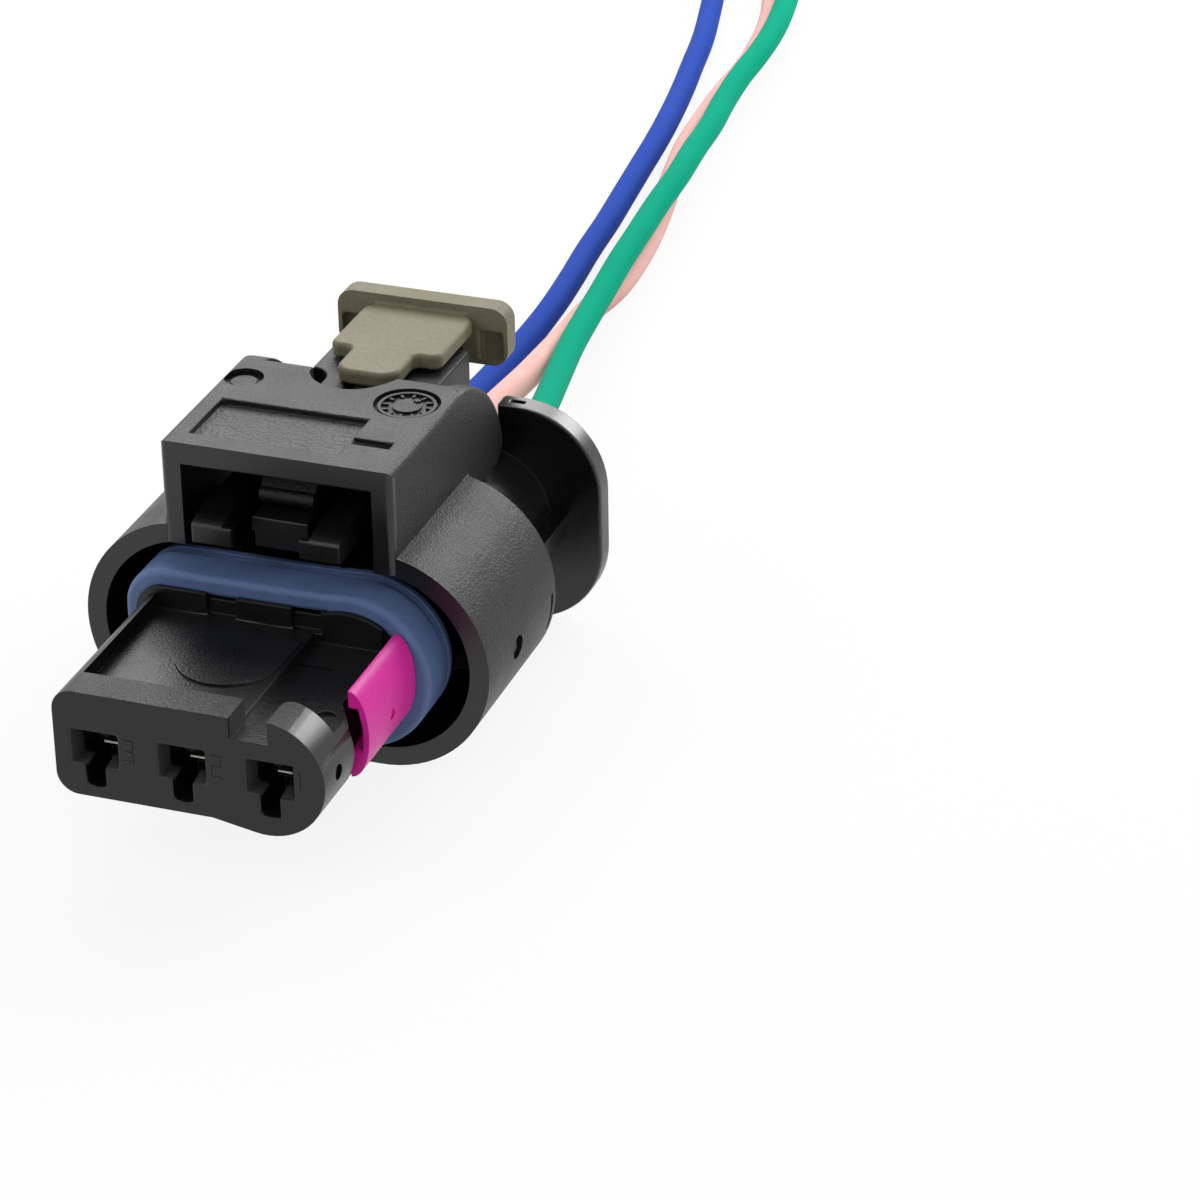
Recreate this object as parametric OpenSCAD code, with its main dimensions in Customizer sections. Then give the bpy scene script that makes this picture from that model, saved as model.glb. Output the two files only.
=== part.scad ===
// Sealed three-way plug on a pigtail: latch lever, slide lock, side lock and three loose wires.
// Lengths are measured from the mating face (y = 0) and heights from the pin row (z = 0);
// mating_frame() then puts the origin under the middle of the plug, on the surface it stands on.

/* [Pin row] */
// Distance between neighbouring pins
pin_pitch = 4; // [3.7:0.1:4.6]
// Width of the lead-in at each pin opening
pin_open_w = 2.2; // [1.8:0.1:2.4]
// Height of the lead-in at each pin opening
pin_open_h = 1.65; // [1.4:0.05:1.9]
// Width of the probe slot under each pin opening
probe_slot_w = 0.85; // [0.5:0.05:1.1]
// Depth of the probe slot below the pin row
probe_slot_drop = 1.8; // [1.4:0.1:2]

/* [Contact carrier] */
// From the left pin to the left side of the carrier
carrier_side = 1.86; // [1.7:0.02:2.3]
// Radius of the round right end of the carrier
carrier_end_r = 2.75; // [2.65:0.05:3]
// Top of the carrier above the pin row
carrier_top = 2.65; // [2.5:0.05:2.75]
// Bottom of the carrier below the pin row
carrier_bottom = 2.35; // [2.25:0.05:2.6]
// Radius of the left corners of the carrier
carrier_corner_r = 1; // [0.5:0.1:1.5]
// Length of the carrier in front of the seal
carrier_len = 9.4; // [9:0.1:11]
// Thickness of the bar along the front edge
front_bar = 1.75; // [1.2:0.05:2.2]
// Depth of the recess in the top
recess_depth = 0.75; // [0.3:0.05:0.9]
// Width of the coding groove in the top
groove_w = 1.7; // [1.2:0.1:2]
// Depth of the coding groove below the top
groove_depth = 1; // [0.8:0.05:1.1]
// Length of the coding groove from the mating face
groove_len = 3.3; // [2.5:0.1:4]
// Depth of the pocket behind the coding groove, below the top
pocket_depth = 1.3; // [1.25:0.05:1.35]
// Length of the pocket behind the coding groove
pocket_len = 3.85; // [3:0.05:4.5]
// Depth of the shelf on the right, below the top
shelf_depth = 1.2; // [1.1:0.05:1.25]
// Length of the block in front of the shelf
shelf_block = 2.1; // [1.8:0.1:2.5]
// Thickness of the front wall that holds the terminals
front_wall = 2.1; // [1.8:0.1:2.4]

/* [Side lock] */
// Length of the side lock along the carrier
tpa_len = 5.3; // [4.8:0.1:5.5]
// Thickness of the outer wall of the side lock
tpa_wall = 0.3; // [0.2:0.05:0.5]
// Thickness of the upper flange of the side lock
tpa_flange = 0.85; // [0.6:0.05:1]
// Thickness of the lower flange of the side lock
tpa_foot = 1.35; // [1:0.05:1.6]
// How far the outer face stands out from the carrier
tpa_proud = 0.25; // [0:0.05:0.4]
// Way that the side lock slides out
tpa_travel = 1.4; // [1:0.1:1.6]

/* [Terminals] */
// Width of the spring-covered contact box
terminal_w = 2; // [1.7:0.1:2.2]
// Height of the spring-covered contact box
terminal_h = 2; // [1.9:0.1:2.1]
// Length of the contact box
terminal_len = 5.2; // [4.8:0.1:5.3]
// Sheet thickness of the steel cover spring
spring_t = 0.15; // [0.1:0.01:0.2]
// Diameter of the crimped barrel
crimp_d = 1.7; // [1.2:0.1:2.2]

/* [Seals] */
// Thickness of the blue seal round the carrier
seal_thick = 0.95; // [0.7:0.05:1.1]
// Length of the blue seal
seal_len = 2.8; // [2.2:0.1:3.4]
// Diameter of each wire seal over its ribs
wire_seal_d = 3.4; // [2.8:0.1:3.6]
// Length of each wire seal
wire_seal_len = 4.6; // [3.5:0.1:5]

/* [Wires] */
// Diameter of the wires over the insulation
wire_d = 1.4; // [1.2:0.1:1.6]
// Diameter of the bare strands
conductor_d = 0.9; // [0.6:0.1:1]
// Length of bare strands at the free end
strip_len = 5; // [3:0.5:8]

/* [Shroud] */
// Half of the straight part of the oval shroud
shroud_flat = 4.29; // [4:0.01:5]
// Outer radius of the round ends of the shroud
shroud_r = 5.25; // [5.2:0.05:5.8]
// How far the shroud's axis lies below the pin row
shroud_drop = 0.12; // [0:0.02:0.3]
// Wall of the shroud
shroud_wall = 0.9; // [0.6:0.05:1.1]
// Length of the shroud
shroud_len = 8.5; // [8:0.1:10]
// From the front of the seal back to the rim of the shroud
rim_setback = 1.7; // [1.2:0.1:2.2]
// Thickness of the closed back of the shroud
shroud_back = 1.2; // [0.8:0.1:1.6]

/* [Latch tower] */
// Half of the tower's width
tower_half_w = 5.42; // [5.3:0.02:6]
// Top of the tower above the pin row
tower_top = 9.17; // [9.1:0.01:9.8]
// Thickness of the roof
roof_t = 1.07; // [0.8:0.01:1.1]
// Thickness of the tower's side walls
tower_wall = 1; // [0.9:0.05:1.1]
// Radius of the tower's outer edges
tower_edge_r = 0.35; // [0.1:0.05:0.4]
// Length of the roof
roof_len = 9.16; // [9:0.02:9.5]
// Radius of the rounded cheeks behind the roof
cheek_r = 5.75; // [5.2:0.05:6]
// How far the cheeks reach behind the roof
cheek_reach = 4.34; // [3.8:0.02:4.6]
// Radius of the scallop in the back edge of the roof
scallop_r = 2; // [1.9:0.05:2.3]
// Depth of the marks sunk into the roof
mark_depth = 0.3; // [0.1:0.05:0.4]
// Width of the bare label field in the roof
label_w = 6.95; // [5:0.05:7.5]
// Length of the bare label field in the roof
label_len = 3.55; // [2.5:0.05:4]
// Radius of the round stamp field in the roof
stamp_r = 1.5; // [1:0.05:1.6]
// Radius of the round ejector mark in the roof
ejector_r = 0.9; // [0.6:0.05:1]

/* [Neck and flange] */
// Half of the neck's width
neck_half_w = 7; // [6.6:0.1:7.6]
// Radius of the round ends of the neck
neck_r = 3.25; // [3:0.05:3.4]
// Length of the neck between shroud and flange
neck_len = 6.1; // [5.8:0.1:7]
// Thickness of the flange
flange_t = 1.2; // [0.8:0.1:1.6]
// Half of the flange's width
flange_half_w = 9.5; // [9:0.05:9.54]
// Top of the flange above the pin row
flange_top = 5.5; // [5:0.1:5.8]
// Corner radius of the flange
flange_corner_r = 4; // [3:0.1:4.5]

/* [Latch lever] */
// Top of the lever's finger pad above the pin row
lever_top = 7.8; // [7.6:0.05:7.9]
// Thickness of the finger pad
lever_t = 1.9; // [1.6:0.05:2]
// Half of the finger pad's width
lever_half_w = 3.1; // [2.9:0.05:3.4]
// Half of the width of the lever's neck under the roof
lever_neck_half_w = 2.1; // [1.8:0.05:2.3]
// Width of each hook arm
arm_w = 1.44; // [1.2:0.02:1.6]
// Height of each hook arm
arm_h = 0.96; // [0.7:0.02:1.1]
// Gap between the two hook heads
hook_gap = 3.1; // [3:0.05:3.4]
// How far each hook head reaches in past its arm
hook_reach = 0.48; // [0.3:0.02:0.6]
// Diameter of the pivot pins
pivot_d = 1.2; // [0.9:0.1:1.3]
// Gap round each pivot pin
pivot_gap = 0.04; // [0.02:0.01:0.08]

/* [Slide lock] */
// Thickness of the sliding sheet
cpa_sheet = 0.75; // [0.6:0.05:0.85]
// Half of the sheet's width
cpa_half_w = 2.7; // [2.3:0.05:3]
// Half of the width of the nose
cpa_nose_half_w = 1.5; // [1.3:0.05:1.6]
// Length of the nose
cpa_nose_len = 2.5; // [1.8:0.05:2.6]
// Length of the wide part of the sheet
cpa_body_len = 4.65; // [4.2:0.05:5]
// Half of the push plate's width
cpa_plate_half_w = 4.2; // [3.8:0.05:4.2]
// Height of the push plate
cpa_plate_h = 2.88; // [2.4:0.02:3]
// How far the push plate rises above the sheet
cpa_plate_rise = 0.47; // [0.3:0.01:0.7]
// Thickness of the push plate
cpa_plate_t = 1.2; // [0.9:0.05:1.5]
// Way that the slide lock is pushed in
cpa_travel = 1.4; // [1:0.1:1.4]

/* [Fits] */
// Gap between sliding faces
slide_gap = 0.08; // [0.05:0.01:0.12]
// Gap round a terminal in its chamber
chamber_gap = 0.12; // [0.08:0.01:0.2]
// Gap between a seal and what it sits on
seal_gap = 0.02; // [0.01:0.01:0.05]

/* [Hidden] */
$fn = 64;
full_turn = 360;
cut = 1;

pins = [-pin_pitch, 0, pin_pitch];

black = "#2b2b2d";
gloss_black = "#1c1c1e";
navy = "#2f436b";
olive = "#8b8873";
magenta = "#cf2f96";
tin = "#c4c4c0";
steel = "#9a9da0";
rubber = "#6c5f4e";
copper = "#b8703c";
blue_pvc = "#2a49ad";
pink_pvc = "#eeb9ad";
green_pvc = "#1f9a79";

// Places along the plug
seal_y0 = carrier_len;
seal_y1 = seal_y0 + seal_len;
core_y0 = seal_y1 + slide_gap;
shroud_y0 = seal_y0 + rim_setback;
shroud_y1 = shroud_y0 + shroud_len;
tower_lead = 0.2;
tower_y0 = shroud_y0 - tower_lead;
roof_y1 = tower_y0 + roof_len;
cheek_y1 = roof_y1 + cheek_reach;
flange_y0 = shroud_y1 + neck_len;
flange_y1 = flange_y0 + flange_t;
lever_inset = 0.3;
lever_y1 = flange_y1 - lever_inset;
cpa_stop = 0.1;
cpa_plate_y0 = lever_y1 + cpa_travel + cpa_stop;
overall_len = cpa_plate_y0 + cpa_plate_t;

// Heights
base_drop = shroud_r + shroud_drop;
shroud_top = shroud_r - shroud_drop;
roof_z0 = tower_top - roof_t;
lever_z0 = lever_top - lever_t;
cpa_z0 = lever_top + slide_gap;
recess_z = carrier_top - recess_depth;
groove_z = carrier_top - groove_depth;
pocket_z = carrier_top - pocket_depth;
shelf_z = carrier_top - shelf_depth;

// Terminal chambers
chamber_w = terminal_w + 2 * chamber_gap;
chamber_h = terminal_h + 2 * chamber_gap;
wire_seal_y1 = flange_y1 - lever_inset;
wire_seal_y0 = wire_seal_y1 - wire_seal_len;
wire_start = 0.3;
wire_y0 = core_y0 + wire_start;

// Pin openings: a funnel, then the narrower passage to the terminal
mouth_depth = 0.9;
passage_inset_x = 0.2;
passage_inset_z = 0.15;
passage_w = pin_open_w - 2 * passage_inset_x;
passage_h = pin_open_h - 2 * passage_inset_z;
probe_overrun = 0.3;

// Carrier outline
carrier_left = pin_pitch + carrier_side;
carrier_end_inset = 0.25;
carrier_end_x = pin_pitch - carrier_end_inset;
carrier_right = carrier_end_x + carrier_end_r;
blend_start = 2.45;
blend_end = 0.45;

// Carrier top
groove_x1 = pin_pitch;
groove_x0 = groove_x1 - groove_w;
pocket_y1 = groove_len + pocket_len;
shelf_block_r = 0.6;
shelf_hole_r = 0.4;
shelf_hole_x = 1.2;
shelf_hole_y = 1.25;
shelf_hole_depth = 0.2;
recess_wall = 0.74;
lip_t = 0.3;
lip_proud = 0.3;
recess_y1 = carrier_len - lip_t;
lip_notch_x = 2;
lip_notch_shift = -0.06;
lip_notch_half_w = 0.68;
pad_r = 2.35;
pad_x = -0.2;
pad_front = 1.7;
pad_len = 4.7;
pad_rise = 0.12;
carrier_dimple_r = 0.35;
carrier_dimple_y = 1.5;
carrier_dimple_depth = 0.25;

// Side lock
tpa_y1 = carrier_len - slide_gap;
tpa_y0 = tpa_y1 - tpa_len;
tpa_side_wall = 0.33;
tpa_side_gap = 0.5;
tpa_front_gap = 0.82;
tpa_slot_x0 = pin_pitch + chamber_w / 2 + tpa_side_wall;
tpa_slot_y0 = tpa_y0 - tpa_front_gap;
tpa_slot_edge = 0.2;
tpa_slot_slant = 1.35;
tpa_x0 = tpa_slot_x0 + tpa_side_gap;
tpa_x1 = carrier_right + tpa_proud;
tpa_blade_t = 0.55;
tpa_z0 = -chamber_h / 2 - tpa_blade_t - slide_gap;
tpa_top_drop = 0.25;
tpa_z1 = carrier_top - tpa_top_drop;
tpa_corner_r = 0.9;
tpa_dimple_r = 0.25;
tpa_dimple_depth = 0.08;
tpa_blade_inset = 0.6;
tpa_blade_root = 0.3;
blade_y0 = tpa_y0 + tpa_blade_inset;
blade_y1 = tpa_y1 - tpa_blade_inset;
tooth_len = 1;
tooth_w = 0.6;
tooth_h = 0.5;
tooth_gap = 0.3;
tooth_y0 = front_wall + terminal_len + tooth_gap;

// Terminals
contact_y0 = front_wall + chamber_gap;
contact_y1 = contact_y0 + terminal_len;
contact_sheet = 0.3;
contact_slot_w = 1.2;
contact_slot_h = 0.6;
contact_lip_len = 0.6;
contact_lip_w = 0.7;
contact_lip_t = 0.1;
contact_neck_w = 1.2;
contact_neck_z = -0.35;
crimp_start = 1.6;
grip_overlap = 0.2;
grip_len = 2;
spring_inset = 1.2;
spring_seam = 0.3;

// Seals
seal_groove_y = 1.9;
seal_groove_w = 0.5;
seal_groove_depth = 0.25;
seal_ribs = 3;
wire_seal_groove = 0.25;

// Lever: its neck, pivot and bar hang below the roof
roof_gap = 0.3;
neck_top = roof_z0 - roof_gap;
neck_z0 = neck_top - lever_t;
neck_y1 = roof_y1 + roof_gap;
pivot_setback = 3.06;
pivot_y = roof_y1 - pivot_setback;
pivot_rise = 0.7;
pivot_z = neck_z0 + pivot_rise;
pivot_depth = 0.5;
hook_lead = 0.1;
hook_y0 = seal_y0 + hook_lead;
hook_t = 0.4;
hook_z0 = shroud_top;
head_x0 = hook_gap / 2;
arm_x0 = head_x0 + hook_reach;
arm_x1 = arm_x0 + arm_w;
arm_rise = 0.36;
arm_ramp = 1.3;
bar_half_len = 0.85;
bar_drop = 0.4;
bar_top = neck_top - bar_drop;
pad_setback = 2.4;
pad_y0 = roof_y1 + pad_setback;
pad_corner = 0.5;
keel_setback = 0.6;
keel_y0 = cpa_plate_y0 - cpa_body_len - cpa_nose_len + keel_setback;
keel_half_w = 0.8;
keel_foot_half_w = 1.2;
keel_depth = 1;
keel_foot_t = 0.4;

// Slide lock
cpa_plate_z0 = cpa_z0 + cpa_sheet + cpa_plate_rise - cpa_plate_h;
cpa_plate_r = 0.8;
cpa_sheet_r = 0.5;
cpa_back_r = 0.9;
cpa_back_lap = 0.15;
cpa_nose_r = 0.9;
cpa_fillet = 0.35;
cpa_pocket_t = 0.45;
cpa_pocket_edge = 0.2;
cpa_pocket_side = 0.1;
cpa_pocket_foot = 0.3;
cpa_pocket_h = 1.35;

// Stop that hangs from the roof between the hook arms: a nose, and a T-shaped rib below it
post_gap = 0.24;
post_half_w = head_x0 - post_gap;
post_lead = 0.25;
post_y0 = tower_y0 + post_lead;
post_clear = 0.6;
post_y1 = pivot_y - bar_half_len - post_clear;
nose_setback = 0.75;
nose_y = post_y0 + nose_setback;
nose_drop = 1.9;
nose_z = roof_z0 - nose_drop;
nose_r = 0.4;
nose_lean = 1.4;
post_root = 0.3;
rib_gap = 0.2;
rib_top = nose_z - rib_gap;
rib_h = 0.7;
rib_foot_drop = 0.63;
rib_foot_inset = 0.12;
web_inset = 0.3;
web_setback = 1.2;
web_overlap = 0.1;

// Tower and its marks
cheek_drop = 1.5;
cheek_heel = 0.9;
space_drop = 0.2;
label_x0 = -4.45;
label_front = 1.1;
label_y0 = tower_y0 + label_front;
slot_front = 2.25;
slot_w = 0.55;
slot_reach = 1.9;
ejector_x = -4.4;
ejector_setback = 2.24;
ejector_disc_r = 0.6;
ejector_disc_h = 0.12;
stamp_x = 3.5;
stamp_setback = 2.5;

// Shroud, neck and flange
gate_y = 3.6;
gate_z = -0.5;
gate_r = 0.55;
gate_depth = 0.45;
gate_nub_r = 0.28;
gate_nub_depth = 0.3;
nick_setback = 0.45;
nick_w = 0.22;
nick_h = 1.7;
nick_top = 0.15;
nick_depth = 0.35;
neck_rise = 0.1;
fin_half_t = 0.45;
fin_reach = 0.9;
notch_gap = 0.25;
notch_drop = 1.7;
slit_x = 5.35;
slit_len = 0.7;
slit_w = 0.25;
slit_depth = 0.3;
barrel_bore = 2.7;

// Wire routes, from the crimp out to the free end
route_blue = [
    [-pin_pitch, wire_y0, 0], [-pin_pitch, flange_y1, 0], [-4, 29.5, 0], [-4, 33, -1], [-4.2, 37, -2.4],
    [-4.4, 41, -3.7], [-4.5, 45, -4.4], [-4.5, 49, -4.65], [-4.4, 53, -4.65], [-4.5, 57, -4.65],
    [-4.8, 61, -4.65], [-5.2, 65, -4.65], [-5.5, 69, -4.65], [-5.9, 73, -4.65], [-6.3, 77, -4.65],
    [-6.7, 81, -4.65], [-7.2, 85, -4.65], [-7.8, 89, -4.65], [-8.5, 93, -4.65], [-9.2, 97, -4.65],
    [-10.1, 101, -4.65], [-11.1, 105, -4.65], [-12.3, 109, -4.65], [-13.6, 113, -4.65], [-15.1, 117, -4.65],
    [-16.7, 121, -4.65]];
route_pink = [
    [0, wire_y0, 0], [0, flange_y1, 0], [0, 29.5, 0], [-0.3, 33, -0.5], [-0.7, 37, -1.2],
    [-1, 41, -1.9], [-1.3, 45, -2.6], [-1.7, 49, -3.3], [-2.1, 53, -4], [-2.4, 57, -4.5],
    [-2.1, 61, -4.65], [-2.3, 65, -4.65], [-2.8, 69, -4.65], [-3.5, 73, -4.65], [-4.2, 77, -4.65],
    [-4.8, 81, -4.65], [-5.1, 85, -4.65], [-5.3, 89, -4.65], [-5.3, 93, -4.65], [-5.6, 97, -4.65],
    [-6.2, 101, -4.65], [-7.2, 105, -4.65], [-8.4, 109, -4.65], [-9.7, 113, -4.65], [-11.2, 117, -4.65],
    [-12.8, 121, -4.65]];
route_green = [
    [pin_pitch, wire_y0, 0], [pin_pitch, flange_y1, 0], [3.9, 29.5, 0], [3.1, 33, -0.3], [2.2, 37, -0.9],
    [1.3, 41, -1.6], [0.4, 45, -2.2], [-0.4, 49, -2.6], [-1, 53, -2.9], [-1.5, 57, -3.1],
    [-1.9, 61, -3.1], [-2.2, 65, -3.1], [-2.5, 69, -3.1], [-2.7, 73, -3.1], [-3.1, 77, -3.2],
    [-3.4, 81, -3.3], [-3.9, 85, -3.4], [-4.2, 89, -3.4], [-4.3, 93, -3.4], [-4.6, 97, -3.4],
    [-5.2, 101, -3.4], [-6, 105, -3.4], [-7, 109, -3.5], [-8.2, 113, -3.8], [-9.6, 117, -4.2],
    [-11.2, 121, -4.5]];

function unit(v) = v / norm(v);
function heading(p, i) = unit(p[min(i + 1, len(p) - 1)] - p[max(i - 1, 0)]);
function ring(centre, along, r, sides) =
    let (u = unit(cross(along, [0, 0, 1])), v = cross(u, along))
    [for (k = [0 : sides - 1])
        let (a = full_turn * (k + 0.5) / sides) centre + r * (cos(a) * u + sin(a) * v)];

// Puts a piece drawn from the mating face and the pin row into the part's own frame
module mating_frame() {
    translate([0, -overall_len / 2, base_drop]) children();
}

// Extrudes an outline drawn in x and z from y0 to y1
module along_y(y0, y1) {
    translate([0, y1, 0]) rotate([90, 0, 0]) linear_extrude(y1 - y0) children();
}

// Extrudes an outline drawn in y and z from x0 to x1
module along_x(x0, x1) {
    translate([x0, 0, 0]) rotate([90, 0, 90]) linear_extrude(x1 - x0) children();
}

// Extrudes an outline drawn in x and y from z0 to z1
module along_z(z0, z1) {
    translate([0, 0, z0]) linear_extrude(z1 - z0) children();
}

// Block between two opposite corners
module block(low, high) {
    translate(low) cube(high - low);
}

module stadium(flat, r) {
    square([2 * flat, 2 * r], center = true);
    for (side = [-1, 1]) translate([side * flat, 0]) circle(r = r);
}

module rounded_rect(low, high, r) {
    translate(low + [r, 0]) square(high - low - [2 * r, 0]);
    translate(low + [0, r]) square(high - low - [0, 2 * r]);
    for (x = [low[0] + r, high[0] - r], z = [low[1] + r, high[1] - r]) translate([x, z]) circle(r = r);
}

// Fills the inner corner at the origin, towards x and y, with an arc of radius r
module corner_fillet(r) {
    difference() {
        square(r);
        translate([r, r]) circle(r = r);
    }
}

// Tube along a list of points, closed at both ends
module tube(route, r, sides = 8) {
    last = len(route) - 1;
    walls = [for (i = [0 : last - 1], k = [0 : sides - 1])
        let (a = i * sides + k, b = i * sides + (k + 1) % sides)
        [a, b, b + sides, a + sides]];
    polyhedron(
        points = [for (i = [0 : last]) each ring(route[i], heading(route, i), r, sides)],
        faces = concat(
            [[for (k = [sides - 1 : -1 : 0]) k]],
            walls,
            [[for (k = [0 : sides - 1]) last * sides + k]]));
}

// Outline of the carrier seen from the front, grown all round by g
module carrier_outline(g = 0) {
    end_r = carrier_end_r + g;
    rounded_rect([-carrier_left - g, -carrier_bottom - g], [carrier_end_x, carrier_top + g],
        carrier_corner_r + g);
    translate([carrier_end_x, 0]) {
        circle(r = end_r);
        polygon([[0, 0], [-blend_start, 0], [-blend_start, -carrier_bottom - g],
            [-blend_end, -sqrt(end_r * end_r - blend_end * blend_end)]]);
    }
}

module shroud_outline(inset = 0) {
    translate([0, -shroud_drop]) stadium(shroud_flat, shroud_r - inset);
}

// Side view of the latch tower: roof line, then the rounded cheek
module tower_side() {
    foot = shroud_top - shroud_wall;
    cheek_y = cheek_y1 - cheek_r;
    cheek_foot = shroud_top - cheek_drop;
    translate([tower_y0, foot]) square([cheek_y - tower_y0, tower_top - foot]);
    difference() {
        intersection() {
            translate([cheek_y, tower_top - cheek_r]) circle(r = cheek_r);
            translate([cheek_y - cut, cheek_foot]) square([cheek_r + 2 * cut, cheek_r]);
        }
        polygon([[cheek_y1 + cut, cheek_foot - cut], [cheek_y1 + cut, cheek_foot + cheek_heel + cut],
            [cheek_y1 - cheek_heel - cut, cheek_foot - cut]]);
    }
}

// Tower with rounded edges along its roof and its front corners, before its inside is cut
module tower_body() {
    foot = shroud_top - cheek_drop - cut;
    back = cheek_y1 + cut;
    intersection() {
        along_x(-tower_half_w, tower_half_w) tower_side();
        along_y(tower_y0 - cut, back)
            rounded_rect([-tower_half_w, foot - tower_edge_r], [tower_half_w, tower_top], tower_edge_r);
        along_z(foot, tower_top + cut)
            rounded_rect([-tower_half_w, tower_y0], [tower_half_w, back + tower_edge_r], tower_edge_r);
    }
}

module tower_space() {
    half = tower_half_w - tower_wall;
    block([-half, tower_y0 - cut, 0], [half, post_y1, roof_z0]);
    block([-half, post_y1 - cut, shroud_top - space_drop], [half, cheek_y1 + cut, roof_z0]);
    block([-half, roof_y1, shroud_top - cheek_drop - cut], [half, cheek_y1 + cut, tower_top + cut]);
}

// Bare label field with its side slot, round ejector mark, round stamp field and the scallop
module roof_marks() {
    floor_z = tower_top - mark_depth;
    slot_y0 = tower_y0 + slot_front;
    label_x1 = label_x0 + label_w;
    block([label_x0, label_y0, floor_z], [label_x1, label_y0 + label_len, tower_top + cut]);
    block([label_x1 - slot_w, slot_y0, floor_z], [label_x1 + slot_reach, slot_y0 + slot_w, tower_top + cut]);
    translate([ejector_x, roof_y1 - ejector_setback, floor_z]) difference() {
        cylinder(r = ejector_r, h = mark_depth + cut);
        cylinder(r = ejector_disc_r, h = ejector_disc_h);
    }
    translate([stamp_x, roof_y1 - stamp_setback, floor_z]) cylinder(r = stamp_r, h = mark_depth + cut);
    translate([0, roof_y1, roof_z0 - cut]) cylinder(r = scallop_r, h = roof_t + 2 * cut);
}

// Fixed stop between the hook arms: a nose under the roof and a T-shaped rib below it
module hook_stop() {
    foot_half_w = post_half_w - rib_foot_inset;
    web_half_w = post_half_w - web_inset;
    along_x(-post_half_w, post_half_w) {
        polygon([[nose_y + nose_r, nose_z], [post_y1, nose_z], [post_y1, roof_z0 + post_root],
            [nose_y + nose_lean, roof_z0 + post_root], [nose_y, nose_z + nose_r]]);
        translate([nose_y + nose_r, nose_z + nose_r]) circle(r = nose_r);
    }
    block([-post_half_w, post_y0, rib_top - rib_h], [post_half_w, post_y1, rib_top]);
    block([-foot_half_w, post_y0, shroud_top - rib_foot_drop], [foot_half_w, post_y1, rib_top]);
    block([-web_half_w, nose_y + web_setback, rib_top - web_overlap],
        [web_half_w, post_y1, nose_z + web_overlap]);
}

// Round gate mark and the nick behind it, in the right end of the shroud
module gate_marks() {
    right = shroud_flat + shroud_r;
    nick_y1 = shroud_y1 - nick_setback;
    translate([right - gate_depth, shroud_y0 + gate_y, gate_z]) rotate([0, 90, 0]) difference() {
        cylinder(r = gate_r, h = gate_depth + cut);
        cylinder(r = gate_nub_r, h = gate_nub_depth);
    }
    block([right - nick_depth, nick_y1 - nick_w, -nick_top - nick_h], [right + cut, nick_y1, -nick_top]);
}

module neck_outline() {
    translate([0, neck_rise]) stadium(neck_half_w - neck_r, neck_r);
}

module flange_outline() {
    notch_half_w = cpa_plate_half_w + notch_gap;
    notch_z = lever_z0 - notch_drop;
    difference() {
        rounded_rect([-flange_half_w, -base_drop], [flange_half_w, flange_top], flange_corner_r);
        translate([-notch_half_w, notch_z]) square([2 * notch_half_w, flange_top]);
    }
}

module chambers() {
    for (x = pins) translate([x, 0, 0]) rotate([-90, 0, 0]) {
        translate([0, 0, core_y0 - cut]) cylinder(d = barrel_bore, h = wire_seal_y0 - core_y0 + 2 * cut);
        translate([0, 0, wire_seal_y0]) cylinder(d = wire_seal_d + 2 * seal_gap, h = wire_seal_len + 2 * cut);
    }
}

// Blind hole in each tower wall for the lever's pivot pins
module pivot_holes() {
    depth = pivot_depth + slide_gap;
    for (side = [0, 1]) mirror([side, 0, 0]) translate([tower_half_w - tower_wall - cut, pivot_y, pivot_z])
        rotate([0, 90, 0]) cylinder(d = pivot_d + 2 * pivot_gap, h = depth + cut);
}

module housing() {
    slit_y0 = flange_y0 + (flange_t - slit_w) / 2;
    color(black) mating_frame() difference() {
        union() {
            difference() {
                union() {
                    along_y(shroud_y0, shroud_y1) shroud_outline();
                    tower_body();
                }
                along_y(tower_y0 - cut, shroud_y1 - shroud_back) shroud_outline(shroud_wall);
                tower_space();
                roof_marks();
                pivot_holes();
                gate_marks();
            }
            hook_stop();
            along_y(core_y0, flange_y1) neck_outline();
            along_y(flange_y0, flange_y1) flange_outline();
            for (side = [-1, 1]) block([side * neck_half_w - fin_reach, shroud_y1 - shroud_back, -fin_half_t],
                [side * neck_half_w + fin_reach, flange_y0 + flange_t / 2, fin_half_t]);
        }
        chambers();
        block([slit_x - slit_len / 2, slit_y0, flange_top - slit_depth],
            [slit_x + slit_len / 2, slit_y0 + slit_w, flange_top + cut]);
    }
}

// Lever behind the roof from above: the end of its neck and the finger pad, with a round inner corner
module lever_pad_outline() {
    corner_r = lever_half_w - lever_neck_half_w;
    translate([-lever_neck_half_w, roof_y1]) square([2 * lever_neck_half_w, pad_y0 - roof_y1]);
    polygon([[-lever_half_w, pad_y0], [lever_half_w, pad_y0], [lever_half_w, lever_y1 - pad_corner],
        [lever_half_w - pad_corner, lever_y1], [pad_corner - lever_half_w, lever_y1],
        [-lever_half_w, lever_y1 - pad_corner]]);
    for (side = [0, 1]) mirror([side, 0]) translate([lever_neck_half_w, pad_y0]) mirror([0, 1])
        corner_fillet(corner_r);
}

// Section of the slide lock's keel, grown by g to make its groove
module keel_section(g = 0) {
    foot_z = lever_top - keel_depth;
    root_h = slide_gap + cpa_sheet / 2;
    translate([-keel_half_w - g, foot_z]) square([2 * (keel_half_w + g), keel_depth + root_h]);
    translate([-keel_foot_half_w - g, foot_z - g]) square([2 * (keel_foot_half_w + g), keel_foot_t + 2 * g]);
}

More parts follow.
